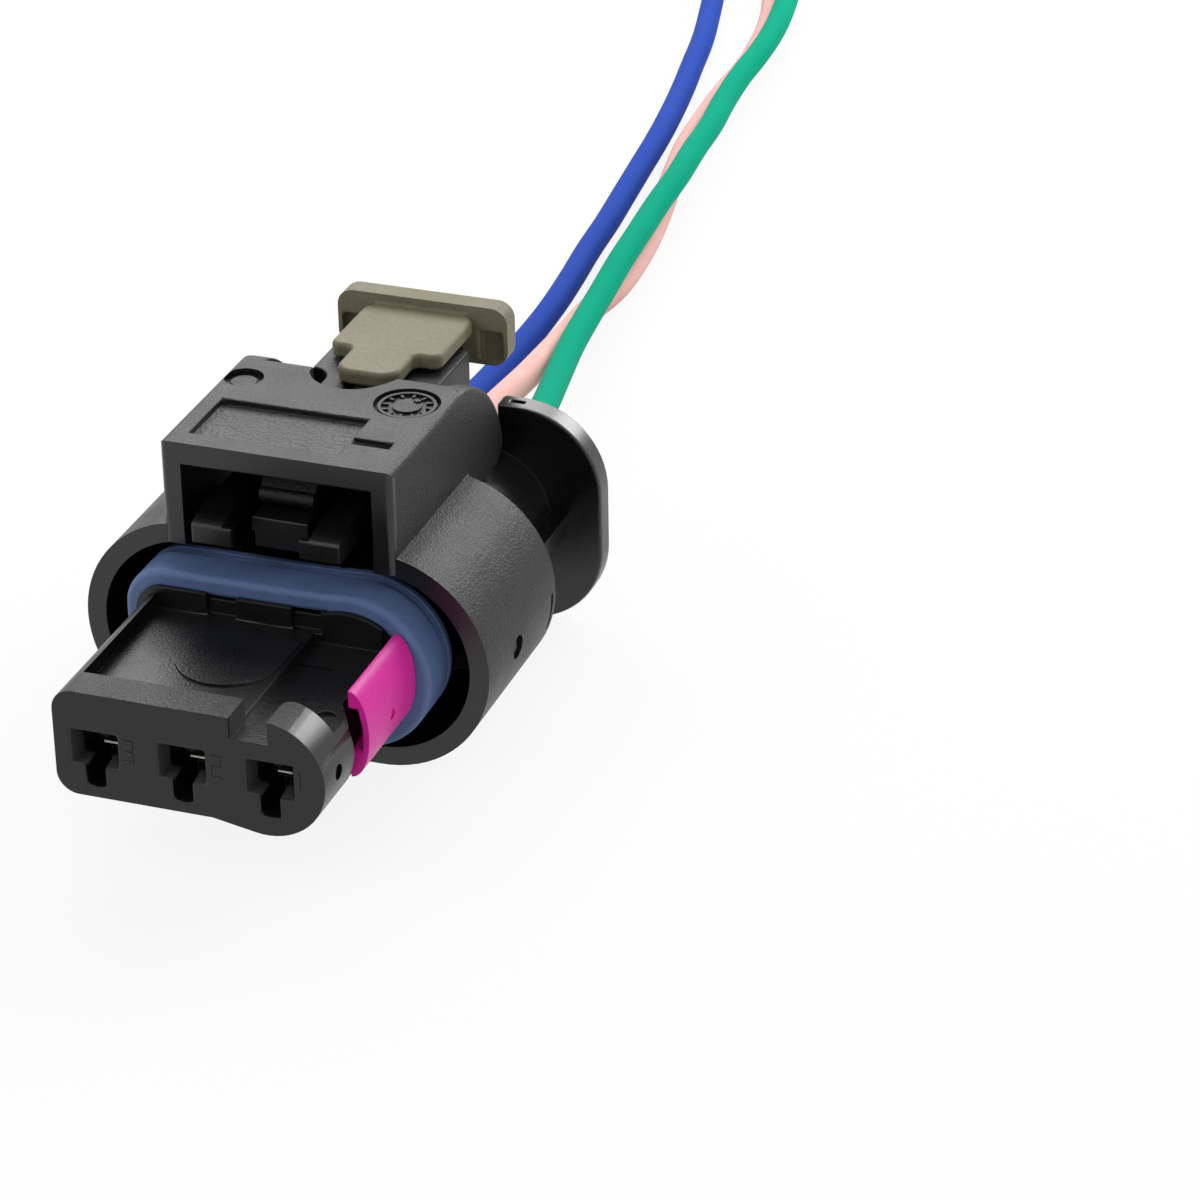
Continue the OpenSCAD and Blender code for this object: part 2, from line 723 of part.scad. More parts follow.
// One hook arm, on the right, with a ramp on top and its inward head
module hook_arm() {
    head_top = hook_z0 + arm_h;
    along_x(arm_x0, arm_x1) polygon([[hook_y0, hook_z0], [pivot_y, hook_z0], [pivot_y, head_top + arm_rise],
        [hook_y0 + arm_ramp, head_top + arm_rise], [hook_y0, head_top]]);
    block([head_x0, hook_y0, hook_z0], [arm_x1, hook_y0 + hook_t, head_top]);
}

module latch_lever() {
    pin_end = tower_half_w - tower_wall + pivot_depth;
    color(black) mating_frame() difference() {
        union() {
            for (side = [0, 1]) mirror([side, 0, 0]) hook_arm();
            block([-arm_x1, pivot_y - bar_half_len, hook_z0], [arm_x1, pivot_y + bar_half_len, bar_top]);
            translate([-pin_end, pivot_y, pivot_z]) rotate([0, 90, 0]) cylinder(d = pivot_d, h = 2 * pin_end);
            block([-lever_neck_half_w, pivot_y, neck_z0], [lever_neck_half_w, neck_y1, neck_top]);
            along_z(lever_z0, lever_top) lever_pad_outline();
        }
        along_y(keel_y0 - cpa_travel - cpa_stop, lever_y1 + cut) keel_section(slide_gap);
    }
}

// Sliding sheet from above: a nose, and a wide part with rounder corners where it meets the push plate
module cpa_sheet_outline() {
    body_y0 = cpa_plate_y0 - cpa_body_len;
    nose_y0 = body_y0 - cpa_nose_len;
    middle = body_y0 + cpa_body_len / 2;
    back = cpa_plate_y0 + cpa_back_lap;
    rounded_rect([-cpa_half_w, body_y0], [cpa_half_w, middle], cpa_sheet_r);
    rounded_rect([-cpa_half_w, body_y0 + cpa_sheet_r], [cpa_half_w, back], cpa_back_r);
    rounded_rect([-cpa_nose_half_w, nose_y0], [cpa_nose_half_w, middle], cpa_nose_r);
    for (side = [0, 1]) mirror([side, 0]) translate([cpa_nose_half_w, body_y0]) mirror([0, 1])
        corner_fillet(cpa_fillet);
}

module cpa_slider() {
    pocket_x = [cpa_half_w + cpa_pocket_side, cpa_plate_half_w - cpa_pocket_edge];
    pocket_z0 = cpa_plate_z0 + cpa_pocket_foot;
    color(olive) mating_frame() difference() {
        union() {
            along_z(cpa_z0, cpa_z0 + cpa_sheet) cpa_sheet_outline();
            along_y(cpa_plate_y0, cpa_plate_y0 + cpa_plate_t) rounded_rect([-cpa_plate_half_w, cpa_plate_z0],
                [cpa_plate_half_w, cpa_plate_z0 + cpa_plate_h], cpa_plate_r);
            along_y(keel_y0, cpa_plate_y0 + cpa_plate_t / 2) keel_section();
        }
        for (side = [0, 1]) mirror([side, 0, 0]) block([pocket_x[0], cpa_plate_y0 - cut, pocket_z0],
            [pocket_x[1], cpa_plate_y0 + cpa_pocket_t, pocket_z0 + cpa_pocket_h]);
    }
}

// Section of the side lock: outer wall and two flanges round an open window
module tpa_outline() {
    difference() {
        rounded_rect([tpa_x0 - tpa_corner_r, tpa_z0], [tpa_x1, tpa_z1], tpa_corner_r);
        translate([tpa_x0 - tpa_corner_r - cut, tpa_z0 - cut])
            square([tpa_corner_r + cut, tpa_z1 - tpa_z0 + 2 * cut]);
        translate([tpa_x0 - cut, tpa_z0 + tpa_foot])
            square([tpa_x1 - tpa_x0 - tpa_wall + cut, tpa_z1 - tpa_z0 - tpa_foot - tpa_flange]);
    }
}

// Blade of the side lock, grown by g; it runs under the chambers
module tpa_blade(g = 0) {
    block([-pin_pitch - chamber_w / 2 - g, blade_y0 - g, tpa_z0 - g],
        [tpa_x0 + tpa_blade_root, blade_y1 + g, tpa_z0 + tpa_blade_t + g]);
}

// Tooth behind a terminal on a foot that joins the blade, grown by g and drawn out sideways by reach
module tpa_tooth(x, g = 0, reach = 0) {
    left = x - tooth_w / 2 - g;
    right = x + tooth_w / 2 + reach + g;
    back = tooth_y0 + tooth_len + g;
    foot_y0 = min(tooth_y0, blade_y1 - tooth_len / 2);
    block([left, foot_y0 - g, tpa_z0 - g], [right, back, tpa_z0 + tpa_blade_t + g]);
    block([left, tooth_y0 - g, tpa_z0], [right, back, tpa_z0 + tpa_blade_t + tooth_h + g]);
}

module tpa_lock() {
    color(magenta) mating_frame() difference() {
        union() {
            along_y(tpa_y0, tpa_y1) tpa_outline();
            tpa_blade();
            for (x = pins) tpa_tooth(x);
        }
        translate([tpa_x1 - tpa_dimple_depth, (tpa_y0 + tpa_y1) / 2, 0]) rotate([0, 90, 0])
            cylinder(r = tpa_dimple_r, h = tpa_dimple_depth + cut);
    }
}

// Section of a funnel that narrows from one half width at the mating face to another at its end
module funnel_section(mouth, end) {
    polygon([[-mouth, -cut], [mouth, -cut], [mouth, 0],
        [end, mouth_depth], [-end, mouth_depth], [-mouth, 0]]);
}

// Funnel, passage and probe slot of one pin
module pin_opening() {
    intersection() {
        along_z(-pin_open_h / 2, pin_open_h / 2) funnel_section(pin_open_w / 2, passage_w / 2);
        along_x(-pin_open_w / 2, pin_open_w / 2) mirror([1, -1])
            funnel_section(pin_open_h / 2, passage_h / 2);
    }
    block([-passage_w / 2, 0, -passage_h / 2], [passage_w / 2, front_wall + cut, passage_h / 2]);
    block([-probe_slot_w / 2, -cut, -probe_slot_drop], [probe_slot_w / 2, front_wall + probe_overrun, 0]);
}

// Cuts in the carrier's top: recess on the left, groove and pocket, shelf on the right, notches in the lip
module carrier_recess() {
    above = carrier_top + lip_proud + cut;
    block([-carrier_left + recess_wall, front_bar, recess_z], [groove_x1, recess_y1, above]);
    block([groove_x0, -cut, groove_z], [groove_x1, groove_len + cut, above]);
    block([groove_x0, groove_len, pocket_z], [groove_x1, pocket_y1, above]);
    block([groove_x0, pocket_y1 - cut, shelf_z], [groove_x1, recess_y1, above]);
    along_z(shelf_z, above) {
        translate([groove_x1, shelf_block]) square([carrier_right, recess_y1 - shelf_block]);
        translate([groove_x1, shelf_block]) mirror([0, 1]) corner_fillet(shelf_block_r);
    }
    translate([groove_x1 + shelf_hole_x, shelf_block + shelf_hole_y, shelf_z - shelf_hole_depth])
        cylinder(r = shelf_hole_r, h = shelf_hole_depth + cut);
    for (side = [-1, 1]) translate([side * lip_notch_x + lip_notch_shift, 0, 0])
        block([-lip_notch_half_w, recess_y1 - cut, recess_z], [lip_notch_half_w, carrier_len, above]);
}

// Slot that the side lock sits in, with a slanted front wall, up to the given back end
module tpa_slot(back) {
    outside = carrier_right + lip_proud + cut;
    along_z(tpa_z0 - slide_gap, carrier_top + lip_proud + cut) polygon([
        [tpa_slot_x0, back], [tpa_slot_x0, tpa_slot_y0 + tpa_slot_slant],
        [carrier_right - tpa_slot_edge, tpa_slot_y0], [outside, tpa_slot_y0], [outside, back]]);
}

// Raised pad in the recess, round towards the front
module recess_pad() {
    pad_y = front_bar + pad_front + pad_r;
    along_z(recess_z - pad_rise, recess_z + pad_rise) {
        translate([pad_x, pad_y]) circle(r = pad_r);
        translate([pad_x - pad_r, pad_y]) square([2 * pad_r, pad_len - pad_r]);
    }
}

module contact_carrier() {
    color(gloss_black) mating_frame() difference() {
        union() {
            difference() {
                union() {
                    along_y(0, core_y0) carrier_outline();
                    difference() {
                        along_y(recess_y1, carrier_len) carrier_outline(lip_proud);
                        tpa_slot(carrier_len + cut);
                    }
                }
                carrier_recess();
            }
            recess_pad();
        }
        tpa_slot(carrier_len);
        tpa_blade(slide_gap);
        translate([carrier_right - carrier_dimple_depth, carrier_dimple_y, 0]) rotate([0, 90, 0])
            cylinder(r = carrier_dimple_r, h = carrier_dimple_depth + cut);
        for (x = pins) {
            translate([x, 0, 0]) pin_opening();
            block([x - chamber_w / 2, front_wall, -chamber_h / 2],
                [x + chamber_w / 2, core_y0 + cut, chamber_h / 2]);
            tpa_tooth(x, slide_gap, tpa_travel);
        }
    }
}

// Broad band round the carrier with one groove near its back
module interface_seal() {
    groove_y0 = seal_y0 + seal_groove_y;
    color(navy) mating_frame() difference() {
        along_y(seal_y0, seal_y1) carrier_outline(seal_thick);
        along_y(seal_y0 - cut, seal_y1 + cut) carrier_outline(seal_gap);
        along_y(groove_y0, groove_y0 + seal_groove_w) difference() {
            carrier_outline(seal_thick + cut);
            carrier_outline(seal_thick - seal_groove_depth);
        }
    }
}

// Contact box with its lower lip, neck, wire barrel and insulation grip of one terminal
module terminal(x) {
    box_w = terminal_w - 2 * spring_t;
    box_h = terminal_h - 2 * spring_t;
    lip_z0 = slide_gap - passage_h / 2;
    grip_y0 = wire_y0 - grip_overlap;
    crimp_y0 = contact_y1 + crimp_start;
    color(tin) mating_frame() translate([x, 0, 0]) difference() {
        union() {
            block([-box_w / 2, contact_y0, -box_h / 2], [box_w / 2, contact_y1, box_h / 2]);
            block([-contact_lip_w / 2, contact_y0 - contact_lip_len, lip_z0],
                [contact_lip_w / 2, contact_y0 + contact_lip_len, lip_z0 + contact_lip_t]);
            block([-contact_neck_w / 2, contact_y1 - contact_sheet, contact_neck_z],
                [contact_neck_w / 2, grip_y0, contact_neck_z + 2 * contact_sheet]);
            translate([0, crimp_y0, 0]) rotate([-90, 0, 0]) cylinder(d = crimp_d, h = grip_y0 - crimp_y0);
            translate([0, grip_y0, 0]) rotate([-90, 0, 0])
                cylinder(d = wire_d + 2 * contact_sheet, h = grip_len);
        }
        block([-contact_slot_w / 2, contact_y0 - cut, -contact_slot_h / 2],
            [contact_slot_w / 2, contact_y1 - contact_sheet, contact_slot_h / 2]);
        translate([0, wire_y0, 0]) rotate([-90, 0, 0])
            cylinder(d = wire_d + 2 * seal_gap, h = grip_len + cut);
    }
}

// Steel sleeve round a contact box, open along the middle of its top
module terminal_spring(x) {
    spring_y0 = contact_y0 + spring_inset;
    spring_y1 = contact_y1 - spring_inset;
    color(steel) mating_frame() translate([x, 0, 0]) along_y(spring_y0, spring_y1) difference() {
        square([terminal_w, terminal_h], center = true);
        square([terminal_w - 2 * spring_t, terminal_h - 2 * spring_t], center = true);
        translate([-spring_seam / 2, 0]) square([spring_seam, terminal_h]);
    }
}

// Rubber plug with three ribs, threaded on its wire
module wire_seal(x) {
    rib_r = wire_seal_d / 2;
    valley_r = rib_r - wire_seal_groove;
    step = wire_seal_len / (2 * seal_ribs + 1);
    color(rubber) mating_frame() translate([x, wire_seal_y0, 0]) rotate([-90, 0, 0]) difference() {
        union() {
            cylinder(r = valley_r, h = wire_seal_len);
            for (i = [0 : seal_ribs - 1]) translate([0, 0, (2 * i + 1) * step]) cylinder(r = rib_r, h = step);
        }
        translate([0, 0, -cut]) cylinder(d = wire_d + 2 * seal_gap, h = wire_seal_len + 2 * cut);
    }
}

module wire(route, tint) {
    color(tint) mating_frame() tube(route, wire_d / 2);
}

// Bare strands past the end of the insulation
module conductor(route) {
    last = len(route) - 1;
    way = heading(route, last);
    color(copper) mating_frame() tube([route[last], route[last] + strip_len * way], conductor_d / 2);
}

housing();
latch_lever();
cpa_slider();
contact_carrier();
tpa_lock();
interface_seal();
terminal(pins[0]);  // terminal_left
terminal(pins[1]);  // terminal_centre
terminal(pins[2]);  // terminal_right
terminal_spring(pins[0]);  // terminal_spring_left
terminal_spring(pins[1]);  // terminal_spring_centre
terminal_spring(pins[2]);  // terminal_spring_right
wire_seal(pins[0]);  // wire_seal_left
wire_seal(pins[1]);  // wire_seal_centre
wire_seal(pins[2]);  // wire_seal_right
wire(route_blue, blue_pvc);  // wire_blue
wire(route_pink, pink_pvc);  // wire_pink
wire(route_green, green_pvc);  // wire_green
conductor(route_blue);  // conductor_blue
conductor(route_pink);  // conductor_pink
conductor(route_green);  // conductor_green
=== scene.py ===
"""Sealed three-way plug on a pigtail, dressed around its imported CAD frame.

The CAD gives every place and size. This script rounds the moulded edges, lays the wires as smooth
cords with stranded ends, gives each piece its finish and sets up the studio and the camera.
"""

import logging
import math
from collections.abc import Callable
from dataclasses import dataclass, field
from enum import Enum

import bmesh
import bpy
from mathutils import Matrix, Vector
from mathutils.bvhtree import BVHTree
from mathutils.geometry import intersect_line_line_2d, intersect_point_line
from mathutils.kdtree import KDTree


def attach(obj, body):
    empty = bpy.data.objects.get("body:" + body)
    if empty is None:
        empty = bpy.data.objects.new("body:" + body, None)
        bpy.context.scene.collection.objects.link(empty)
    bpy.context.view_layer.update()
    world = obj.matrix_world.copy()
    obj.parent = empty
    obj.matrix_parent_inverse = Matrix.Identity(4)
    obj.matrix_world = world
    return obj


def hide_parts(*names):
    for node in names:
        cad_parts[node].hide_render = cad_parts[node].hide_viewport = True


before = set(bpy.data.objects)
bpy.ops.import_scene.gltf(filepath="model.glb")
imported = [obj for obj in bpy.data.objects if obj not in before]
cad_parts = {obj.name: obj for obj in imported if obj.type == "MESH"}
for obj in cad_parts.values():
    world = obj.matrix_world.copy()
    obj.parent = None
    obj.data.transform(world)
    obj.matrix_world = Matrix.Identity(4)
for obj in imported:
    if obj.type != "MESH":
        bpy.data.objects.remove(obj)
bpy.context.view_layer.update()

MM = 0.001
LOG = logging.getLogger("plug")

# The CAD's own frame: its origin lies under the middle of the plug, the routes count from the mating face
MATING_FACE_MM = -14.65
PIN_ROW_MM = 5.37
PIN_PLACES_MM = (-4.0, 0.0, 4.0)

# A face looks up where the upward part of its normal is over this
LOOKS_UP = 0.9
# Faces that meet at more than this are shaded as an edge
SHARP_DEG = 35.0
# Most values of a noise texture lie in this range
NOISE_RANGE = (0.3, 0.7)
WHITE = (1.0, 1.0, 1.0, 1.0)

Colour = tuple[float, float, float, float]


class Body(Enum):
    """The CAD bodies that pieces ride on."""

    PLUG = "plug"
    LEVER = "lever"
    SLIDE_LOCK = "slide_lock"
    SIDE_LOCK = "side_lock"


def linear(hex_code: str) -> Colour:
    """Turns an sRGB hex colour into linear RGBA.

    Args:
        hex_code: six hex digits, with or without a hash sign.

    Returns:
        Linear red, green and blue from 0 to 1, and alpha 1.
    """
    digits = hex_code.lstrip("#")
    parts = [int(digits[i:i + 2], 16) / 255 for i in (0, 2, 4)]
    rgb = [p / 12.92 if p <= 0.04045 else ((p + 0.055) / 1.055) ** 2.4 for p in parts]
    return (rgb[0], rgb[1], rgb[2], 1.0)


def shade(colour: Colour, share: float) -> Colour:
    """Makes a colour darker or paler.

    Args:
        colour: a linear colour.
        share: the factor of its red, green and blue.

    Returns:
        The new colour, with no part over 1.
    """
    rgb = [min(1.0, part * share) for part in colour[:3]]
    return (rgb[0], rgb[1], rgb[2], 1.0)


def add(tree: bpy.types.NodeTree, kind: str, links: dict | None = None,
        **settings: object) -> bpy.types.Node:
    """Adds one node with its settings, values and links.

    Args:
        tree: the node tree.
        kind: the node's class name.
        links: socket name or index, to an output socket to link or a value to set.
        settings: attributes of the node itself.

    Returns:
        The new node.
    """
    node = tree.nodes.new(kind)
    for key, value in settings.items():
        setattr(node, key, value)
    for key, value in (links or {}).items():
        if isinstance(value, bpy.types.NodeSocket):
            tree.links.new(value, node.inputs[key])
        else:
            node.inputs[key].default_value = value
    return node


def new_material(name: str) -> tuple[bpy.types.Material, bpy.types.NodeTree]:
    """Makes an empty node material.

    Args:
        name: the material's name.

    Returns:
        The material and its node tree.
    """
    material = bpy.data.materials.new(name)
    material.use_nodes = True
    material.node_tree.nodes.clear()
    return material, material.node_tree


def select_only(piece: bpy.types.Object) -> None:
    """Makes one object the only selected and active one.

    Args:
        piece: the object that the next operator acts on.
    """
    bpy.ops.object.select_all(action="DESELECT")
    piece.select_set(True)
    bpy.context.view_layer.objects.active = piece


def link_new(name: str, data: bpy.types.ID) -> bpy.types.Object:
    """Makes an object and puts it in the scene.

    Args:
        name: the object's name.
        data: its mesh, curve, lamp or camera.

    Returns:
        The object, at the origin.
    """
    made = bpy.data.objects.new(name, data)
    bpy.context.scene.collection.objects.link(made)
    return made


def round_curve(name: str, diameter_mm: float, section_steps: int) -> bpy.types.Curve:
    """Makes an empty curve with a round section and closed ends.

    Args:
        name: the curve's name.
        diameter_mm: the section's diameter.
        section_steps: how finely the section is drawn.

    Returns:
        The curve.
    """
    curve = bpy.data.curves.new(name, "CURVE")
    curve.dimensions = "3D"
    curve.bevel_depth = diameter_mm / 2 * MM
    curve.bevel_resolution = section_steps
    curve.use_fill_caps = True
    return curve


def curve_to_mesh(curve: bpy.types.Curve) -> bpy.types.Object:
    """Makes a smooth mesh of a curve.

    Args:
        curve: the finished curve.

    Returns:
        The mesh object, with the curve's name.
    """
    select_only(link_new(curve.name, curve))
    bpy.ops.object.convert(target="MESH")
    bpy.ops.object.shade_smooth()
    return bpy.context.object


@dataclass(frozen=True)
class MouldedPlastic:
    """Injection moulded PBT: dyed through, with the skin that its mould cavity gave it.

    A spark-eroded cavity leaves a fine grain that spreads the light, a polished one a satin skin.
    """

    name: str
    colour: str
    roughness: float
    grain_mm: float
    grain_depth_mm: float
    specular: float = 0.5
    cloud_mm: float = 3.0
    tint_share: float = 0.12
    tint_range: tuple[float, float] = (0.35, 0.7)
    gloss_spread: float = 0.04
    ior: float = 1.55

    def build(self) -> bpy.types.Material:
        """Makes the material.

        Returns:
            The material, with grain as bump and tint, and slow clouds in its gloss.
        """
        material, tree = new_material(self.name)
        place = add(tree, "ShaderNodeTexCoord").outputs["Object"]
        grain = add(tree, "ShaderNodeTexNoise", {
            "Vector": place, "Scale": 1 / (self.grain_mm * MM), "Detail": 3.0,
            "Roughness": 0.6}).outputs["Fac"]
        cloud = add(tree, "ShaderNodeTexNoise", {
            "Vector": place, "Scale": 1 / (self.cloud_mm * MM), "Detail": 2.0}).outputs["Fac"]
        bump = add(tree, "ShaderNodeBump", {
            "Height": grain, "Strength": 1.0, "Distance": self.grain_depth_mm * MM})
        tint = add(tree, "ShaderNodeValToRGB", {"Fac": grain})
        shares = (1 - self.tint_share, 1 + 2 * self.tint_share)
        for stop, height, share in zip(tint.color_ramp.elements, self.tint_range, shares):
            stop.position = height
            stop.color = shade(linear(self.colour), share)
        rough = add(tree, "ShaderNodeMapRange", {
            "Value": cloud, "From Min": NOISE_RANGE[0], "From Max": NOISE_RANGE[1],
            "To Min": self.roughness - self.gloss_spread, "To Max": self.roughness + self.gloss_spread})
        shader = add(tree, "ShaderNodeBsdfPrincipled", {
            "Base Color": tint.outputs["Color"], "Roughness": rough.outputs["Result"], "IOR": self.ior,
            "Specular IOR Level": self.specular, "Normal": bump.outputs["Normal"]})
        add(tree, "ShaderNodeOutputMaterial", {"Surface": shader.outputs["BSDF"]})
        return material


@dataclass(frozen=True)
class Silicone:
    """Moulded silicone: soft satin skin with a faint bloom of dust and oil."""

    name: str
    colour: str
    roughness: float = 0.5
    specular: float = 0.35
    bloom_mm: float = 0.6
    skin_depth_mm: float = 0.006
    tint_shares: tuple[float, float] = (0.85, 1.2)
    gloss_spread: tuple[float, float] = (-0.06, 0.1)
    ior: float = 1.41

    def build(self) -> bpy.types.Material:
        """Makes the material.

        Returns:
            The material, with uneven sheen and a very fine skin.
        """
        material, tree = new_material(self.name)
        place = add(tree, "ShaderNodeTexCoord").outputs["Object"]
        bloom = add(tree, "ShaderNodeTexNoise", {
            "Vector": place, "Scale": 1 / (self.bloom_mm * MM), "Detail": 4.0,
            "Roughness": 0.65}).outputs["Fac"]
        rough = add(tree, "ShaderNodeMapRange", {
            "Value": bloom, "From Min": NOISE_RANGE[0], "From Max": NOISE_RANGE[1],
            "To Min": self.roughness + self.gloss_spread[0], "To Max": self.roughness + self.gloss_spread[1]})
        bump = add(tree, "ShaderNodeBump", {
            "Height": bloom, "Strength": 0.5, "Distance": self.skin_depth_mm * MM})
        tint = add(tree, "ShaderNodeValToRGB", {"Fac": bloom})
        for stop, share in zip(tint.color_ramp.elements, self.tint_shares):
            stop.color = shade(linear(self.colour), share)
        shader = add(tree, "ShaderNodeBsdfPrincipled", {
            "Base Color": tint.outputs["Color"], "Roughness": rough.outputs["Result"], "IOR": self.ior,
            "Specular IOR Level": self.specular, "Normal": bump.outputs["Normal"]})
        add(tree, "ShaderNodeOutputMaterial", {"Surface": shader.outputs["BSDF"]})
        return material


@dataclass(frozen=True)
class Insulation:
    """Extruded thin-wall insulation: smooth and slightly waxy, with hardly any gloss."""

    name: str
    colour: str
    roughness: float = 0.5
    specular: float = 0.012
    ripple_mm: float = 1.6
    tint_shares: tuple[float, float] = (0.9, 1.1)
    gloss_spread: tuple[float, float] = (-0.05, 0.08)
    ior: float = 1.5

    def build(self) -> bpy.types.Material:
        """Makes the material.

        Returns:
            The material, with slow ripples from the extruder in its gloss and shade.
        """
        material, tree = new_material(self.name)
        place = add(tree, "ShaderNodeTexCoord").outputs["Object"]
        ripple = add(tree, "ShaderNodeTexNoise", {
            "Vector": place, "Scale": 1 / (self.ripple_mm * MM), "Detail": 3.0}).outputs["Fac"]
        tint = add(tree, "ShaderNodeValToRGB", {"Fac": ripple})
        for stop, share in zip(tint.color_ramp.elements, self.tint_shares):
            stop.color = shade(linear(self.colour), share)
        rough = add(tree, "ShaderNodeMapRange", {
            "Value": ripple, "To Min": self.roughness + self.gloss_spread[0],
            "To Max": self.roughness + self.gloss_spread[1]})
        shader = add(tree, "ShaderNodeBsdfPrincipled", {
            "Base Color": tint.outputs["Color"], "Roughness": rough.outputs["Result"], "IOR": self.ior,
            "Specular IOR Level": self.specular})
        add(tree, "ShaderNodeOutputMaterial", {"Surface": shader.outputs["BSDF"]})
        return material


@dataclass(frozen=True)
class StampedStrip:
    """Rolled and stamped strip or drawn strand: bright metal with fine lines along the rolling way."""

    name: str
    colour: str
    roughness: float
    line_mm: float = 0.08
    line_scale: tuple[float, float, float] = (1.0, 0.05, 1.0)
    gloss_spread: tuple[float, float] = (-0.08, 0.12)

    def build(self) -> bpy.types.Material:
        """Makes the material.

        Returns:
            The metal, with lines that run along the plug in its gloss.
        """
        material, tree = new_material(self.name)
        place = add(tree, "ShaderNodeTexCoord").outputs["Object"]
        along = add(tree, "ShaderNodeMapping", {"Vector": place, "Scale": self.line_scale})
        lines = add(tree, "ShaderNodeTexNoise", {
            "Vector": along.outputs["Vector"], "Scale": 1 / (self.line_mm * MM), "Detail": 2.0})
        rough = add(tree, "ShaderNodeMapRange", {
            "Value": lines.outputs["Fac"], "To Min": self.roughness + self.gloss_spread[0],
            "To Max": self.roughness + self.gloss_spread[1]})
        shader = add(tree, "ShaderNodeBsdfPrincipled", {
            "Base Color": linear(self.colour), "Metallic": 1.0, "Roughness": rough.outputs["Result"]})
        add(tree, "ShaderNodeOutputMaterial", {"Surface": shader.outputs["BSDF"]})
        return material


# Black glass-filled PBT from a spark-eroded cavity: a dull grain that goes grey where light grazes it. The
# real grain is under 0.1 mm, and is drawn a little coarser so that it shows
GRAINED_BLACK_PBT = MouldedPlastic(
    "grained_black_pbt", "101011", roughness=0.4, grain_mm=0.12, grain_depth_mm=0.045, specular=0.23)
# The same plastic from a stoned cavity, on the neck, flange, front frame and hooks: near black, with clear
# lights
SMOOTH_BLACK_PBT = MouldedPlastic(
    "smooth_black_pbt", "0b0b0c", roughness=0.3, grain_mm=0.25, grain_depth_mm=0.004, specular=0.48)
# The same plastic where the cavity was left rough from the spark: a coarse crust that breaks up the light
CRUSTED_BLACK_PBT = MouldedPlastic(
    "crusted_black_pbt", "242426", roughness=0.45, grain_mm=0.22, grain_depth_mm=0.16, specular=0.45)
# Black PBT from a polished cavity: deeper black with a satin gloss
SATIN_BLACK_PBT = MouldedPlastic(
    "satin_black_pbt", "0e0e10", roughness=0.34, grain_mm=0.3, grain_depth_mm=0.004, specular=0.35)
# The same plastic from the polished top of the carrier's cavity: a dark mirror with soft edges
POLISHED_BLACK_PBT = MouldedPlastic(
    "polished_black_pbt", "141416", roughness=0.3, grain_mm=0.14, grain_depth_mm=0.018, specular=0.15)
# The same plastic on the lead-ins of the pin openings, dull where the cores left it: its dark grey is painted
# light, a lighter copy of the black that stands in for the light the slopes catch
LEAD_IN_PAINTED_LIGHT_PBT = MouldedPlastic(
    "lead_in_black_pbt_painted_light", "3a3a3c", roughness=0.6, grain_mm=0.2, grain_depth_mm=0.01, specular=0.25)
# Olive grey PBT with a satin skin: an even, slightly chalky colour with faint flecks from the dye
OLIVE_PBT = MouldedPlastic(
    "olive_grey_pbt", "7b7662", roughness=0.45, grain_mm=0.25, grain_depth_mm=0.005, specular=0.07,
    tint_share=0.06)
# Magenta PBT from a polished cavity: glossy enough to mirror the studio softly
MAGENTA_PBT = MouldedPlastic(
    "magenta_pbt", "d8249c", roughness=0.4, grain_mm=0.4, grain_depth_mm=0.003, specular=0.2,
    tint_share=0.03)
# Moulded silicone, navy on the plug's seal and brown on the wires' seals: a soft sheen with no clear lights
NAVY_SILICONE = Silicone("navy_silicone", "586e98")
BROWN_SILICONE = Silicone("brown_silicone", "6b5a48", roughness=0.55)
# Thin-wall insulation, dyed through: full, even colours with no clear lights
BLUE_INSULATION = Insulation("blue_insulation", "2a479f")
PINK_INSULATION = Insulation("pink_insulation", "e0b0a9")
GREEN_INSULATION = Insulation("green_insulation", "009475")
# Bronze strip with a matt tin plating, painted dark grey as shade where it sits deep in the chambers, and a
# near-white copy on the lips' front edges as a painted glint
TIN_WITH_PAINTED_SHADE = StampedStrip("tinned_bronze_painted_shade", "6a6864", roughness=0.5)
LIP_PAINTED_GLINT_METAL = StampedStrip("lip_edge_painted_glint", "fdfaf2", roughness=0.6)
# Rolled stainless strip and drawn copper: bright, with lights drawn out across the rolling lines
SPRING_STEEL = StampedStrip("spring_steel", "b5b6b8", roughness=0.28)
COPPER_STRAND = StampedStrip("copper_strand", "c98a5e", roughness=0.3)


@dataclass
class PhotoCamera:
    """The camera, placed as the one that took the photograph."""

    place_mm: tuple[float, float, float] = (70.166, -156.753, 97.893)
    turn_deg: tuple[float, float, float] = (61.635, 0.783, 19.487)
    lens_mm: float = 131.316
    sensor_mm: float = 36.0
    near_mm: float = 5.0

    def place(self) -> None:
        """Adds the camera and makes it the scene's own."""
        data = bpy.data.cameras.new("photo_camera")
        data.lens = self.lens_mm
        data.sensor_width = self.sensor_mm
        data.sensor_fit = "HORIZONTAL"
        data.clip_start = self.near_mm * MM
        camera = link_new("photo_camera", data)
        camera.location = Vector(self.place_mm) * MM
        camera.rotation_euler = [math.radians(a) for a in self.turn_deg]
        bpy.context.scene.camera = camera


@dataclass(frozen=True)
class Softbox:
    """One rectangular studio lamp, aimed at the plug."""

    name: str
    place_mm: tuple[float, float, float]
    size_mm: tuple[float, float]
    watts: float
    aim_mm: tuple[float, float, float] = (0.0, 0.0, 7.0)

    def place(self) -> None:
        """Adds the lamp."""
        data = bpy.data.lights.new(self.name, "AREA")
        data.shape = "RECTANGLE"
        data.size, data.size_y = (s * MM for s in self.size_mm)
        data.energy = self.watts
        lamp = link_new(self.name, data)
        lamp.location = Vector(self.place_mm) * MM
        aim = Vector(self.aim_mm) * MM - lamp.location
        lamp.rotation_euler = aim.to_track_quat("-Z", "Y").to_euler()


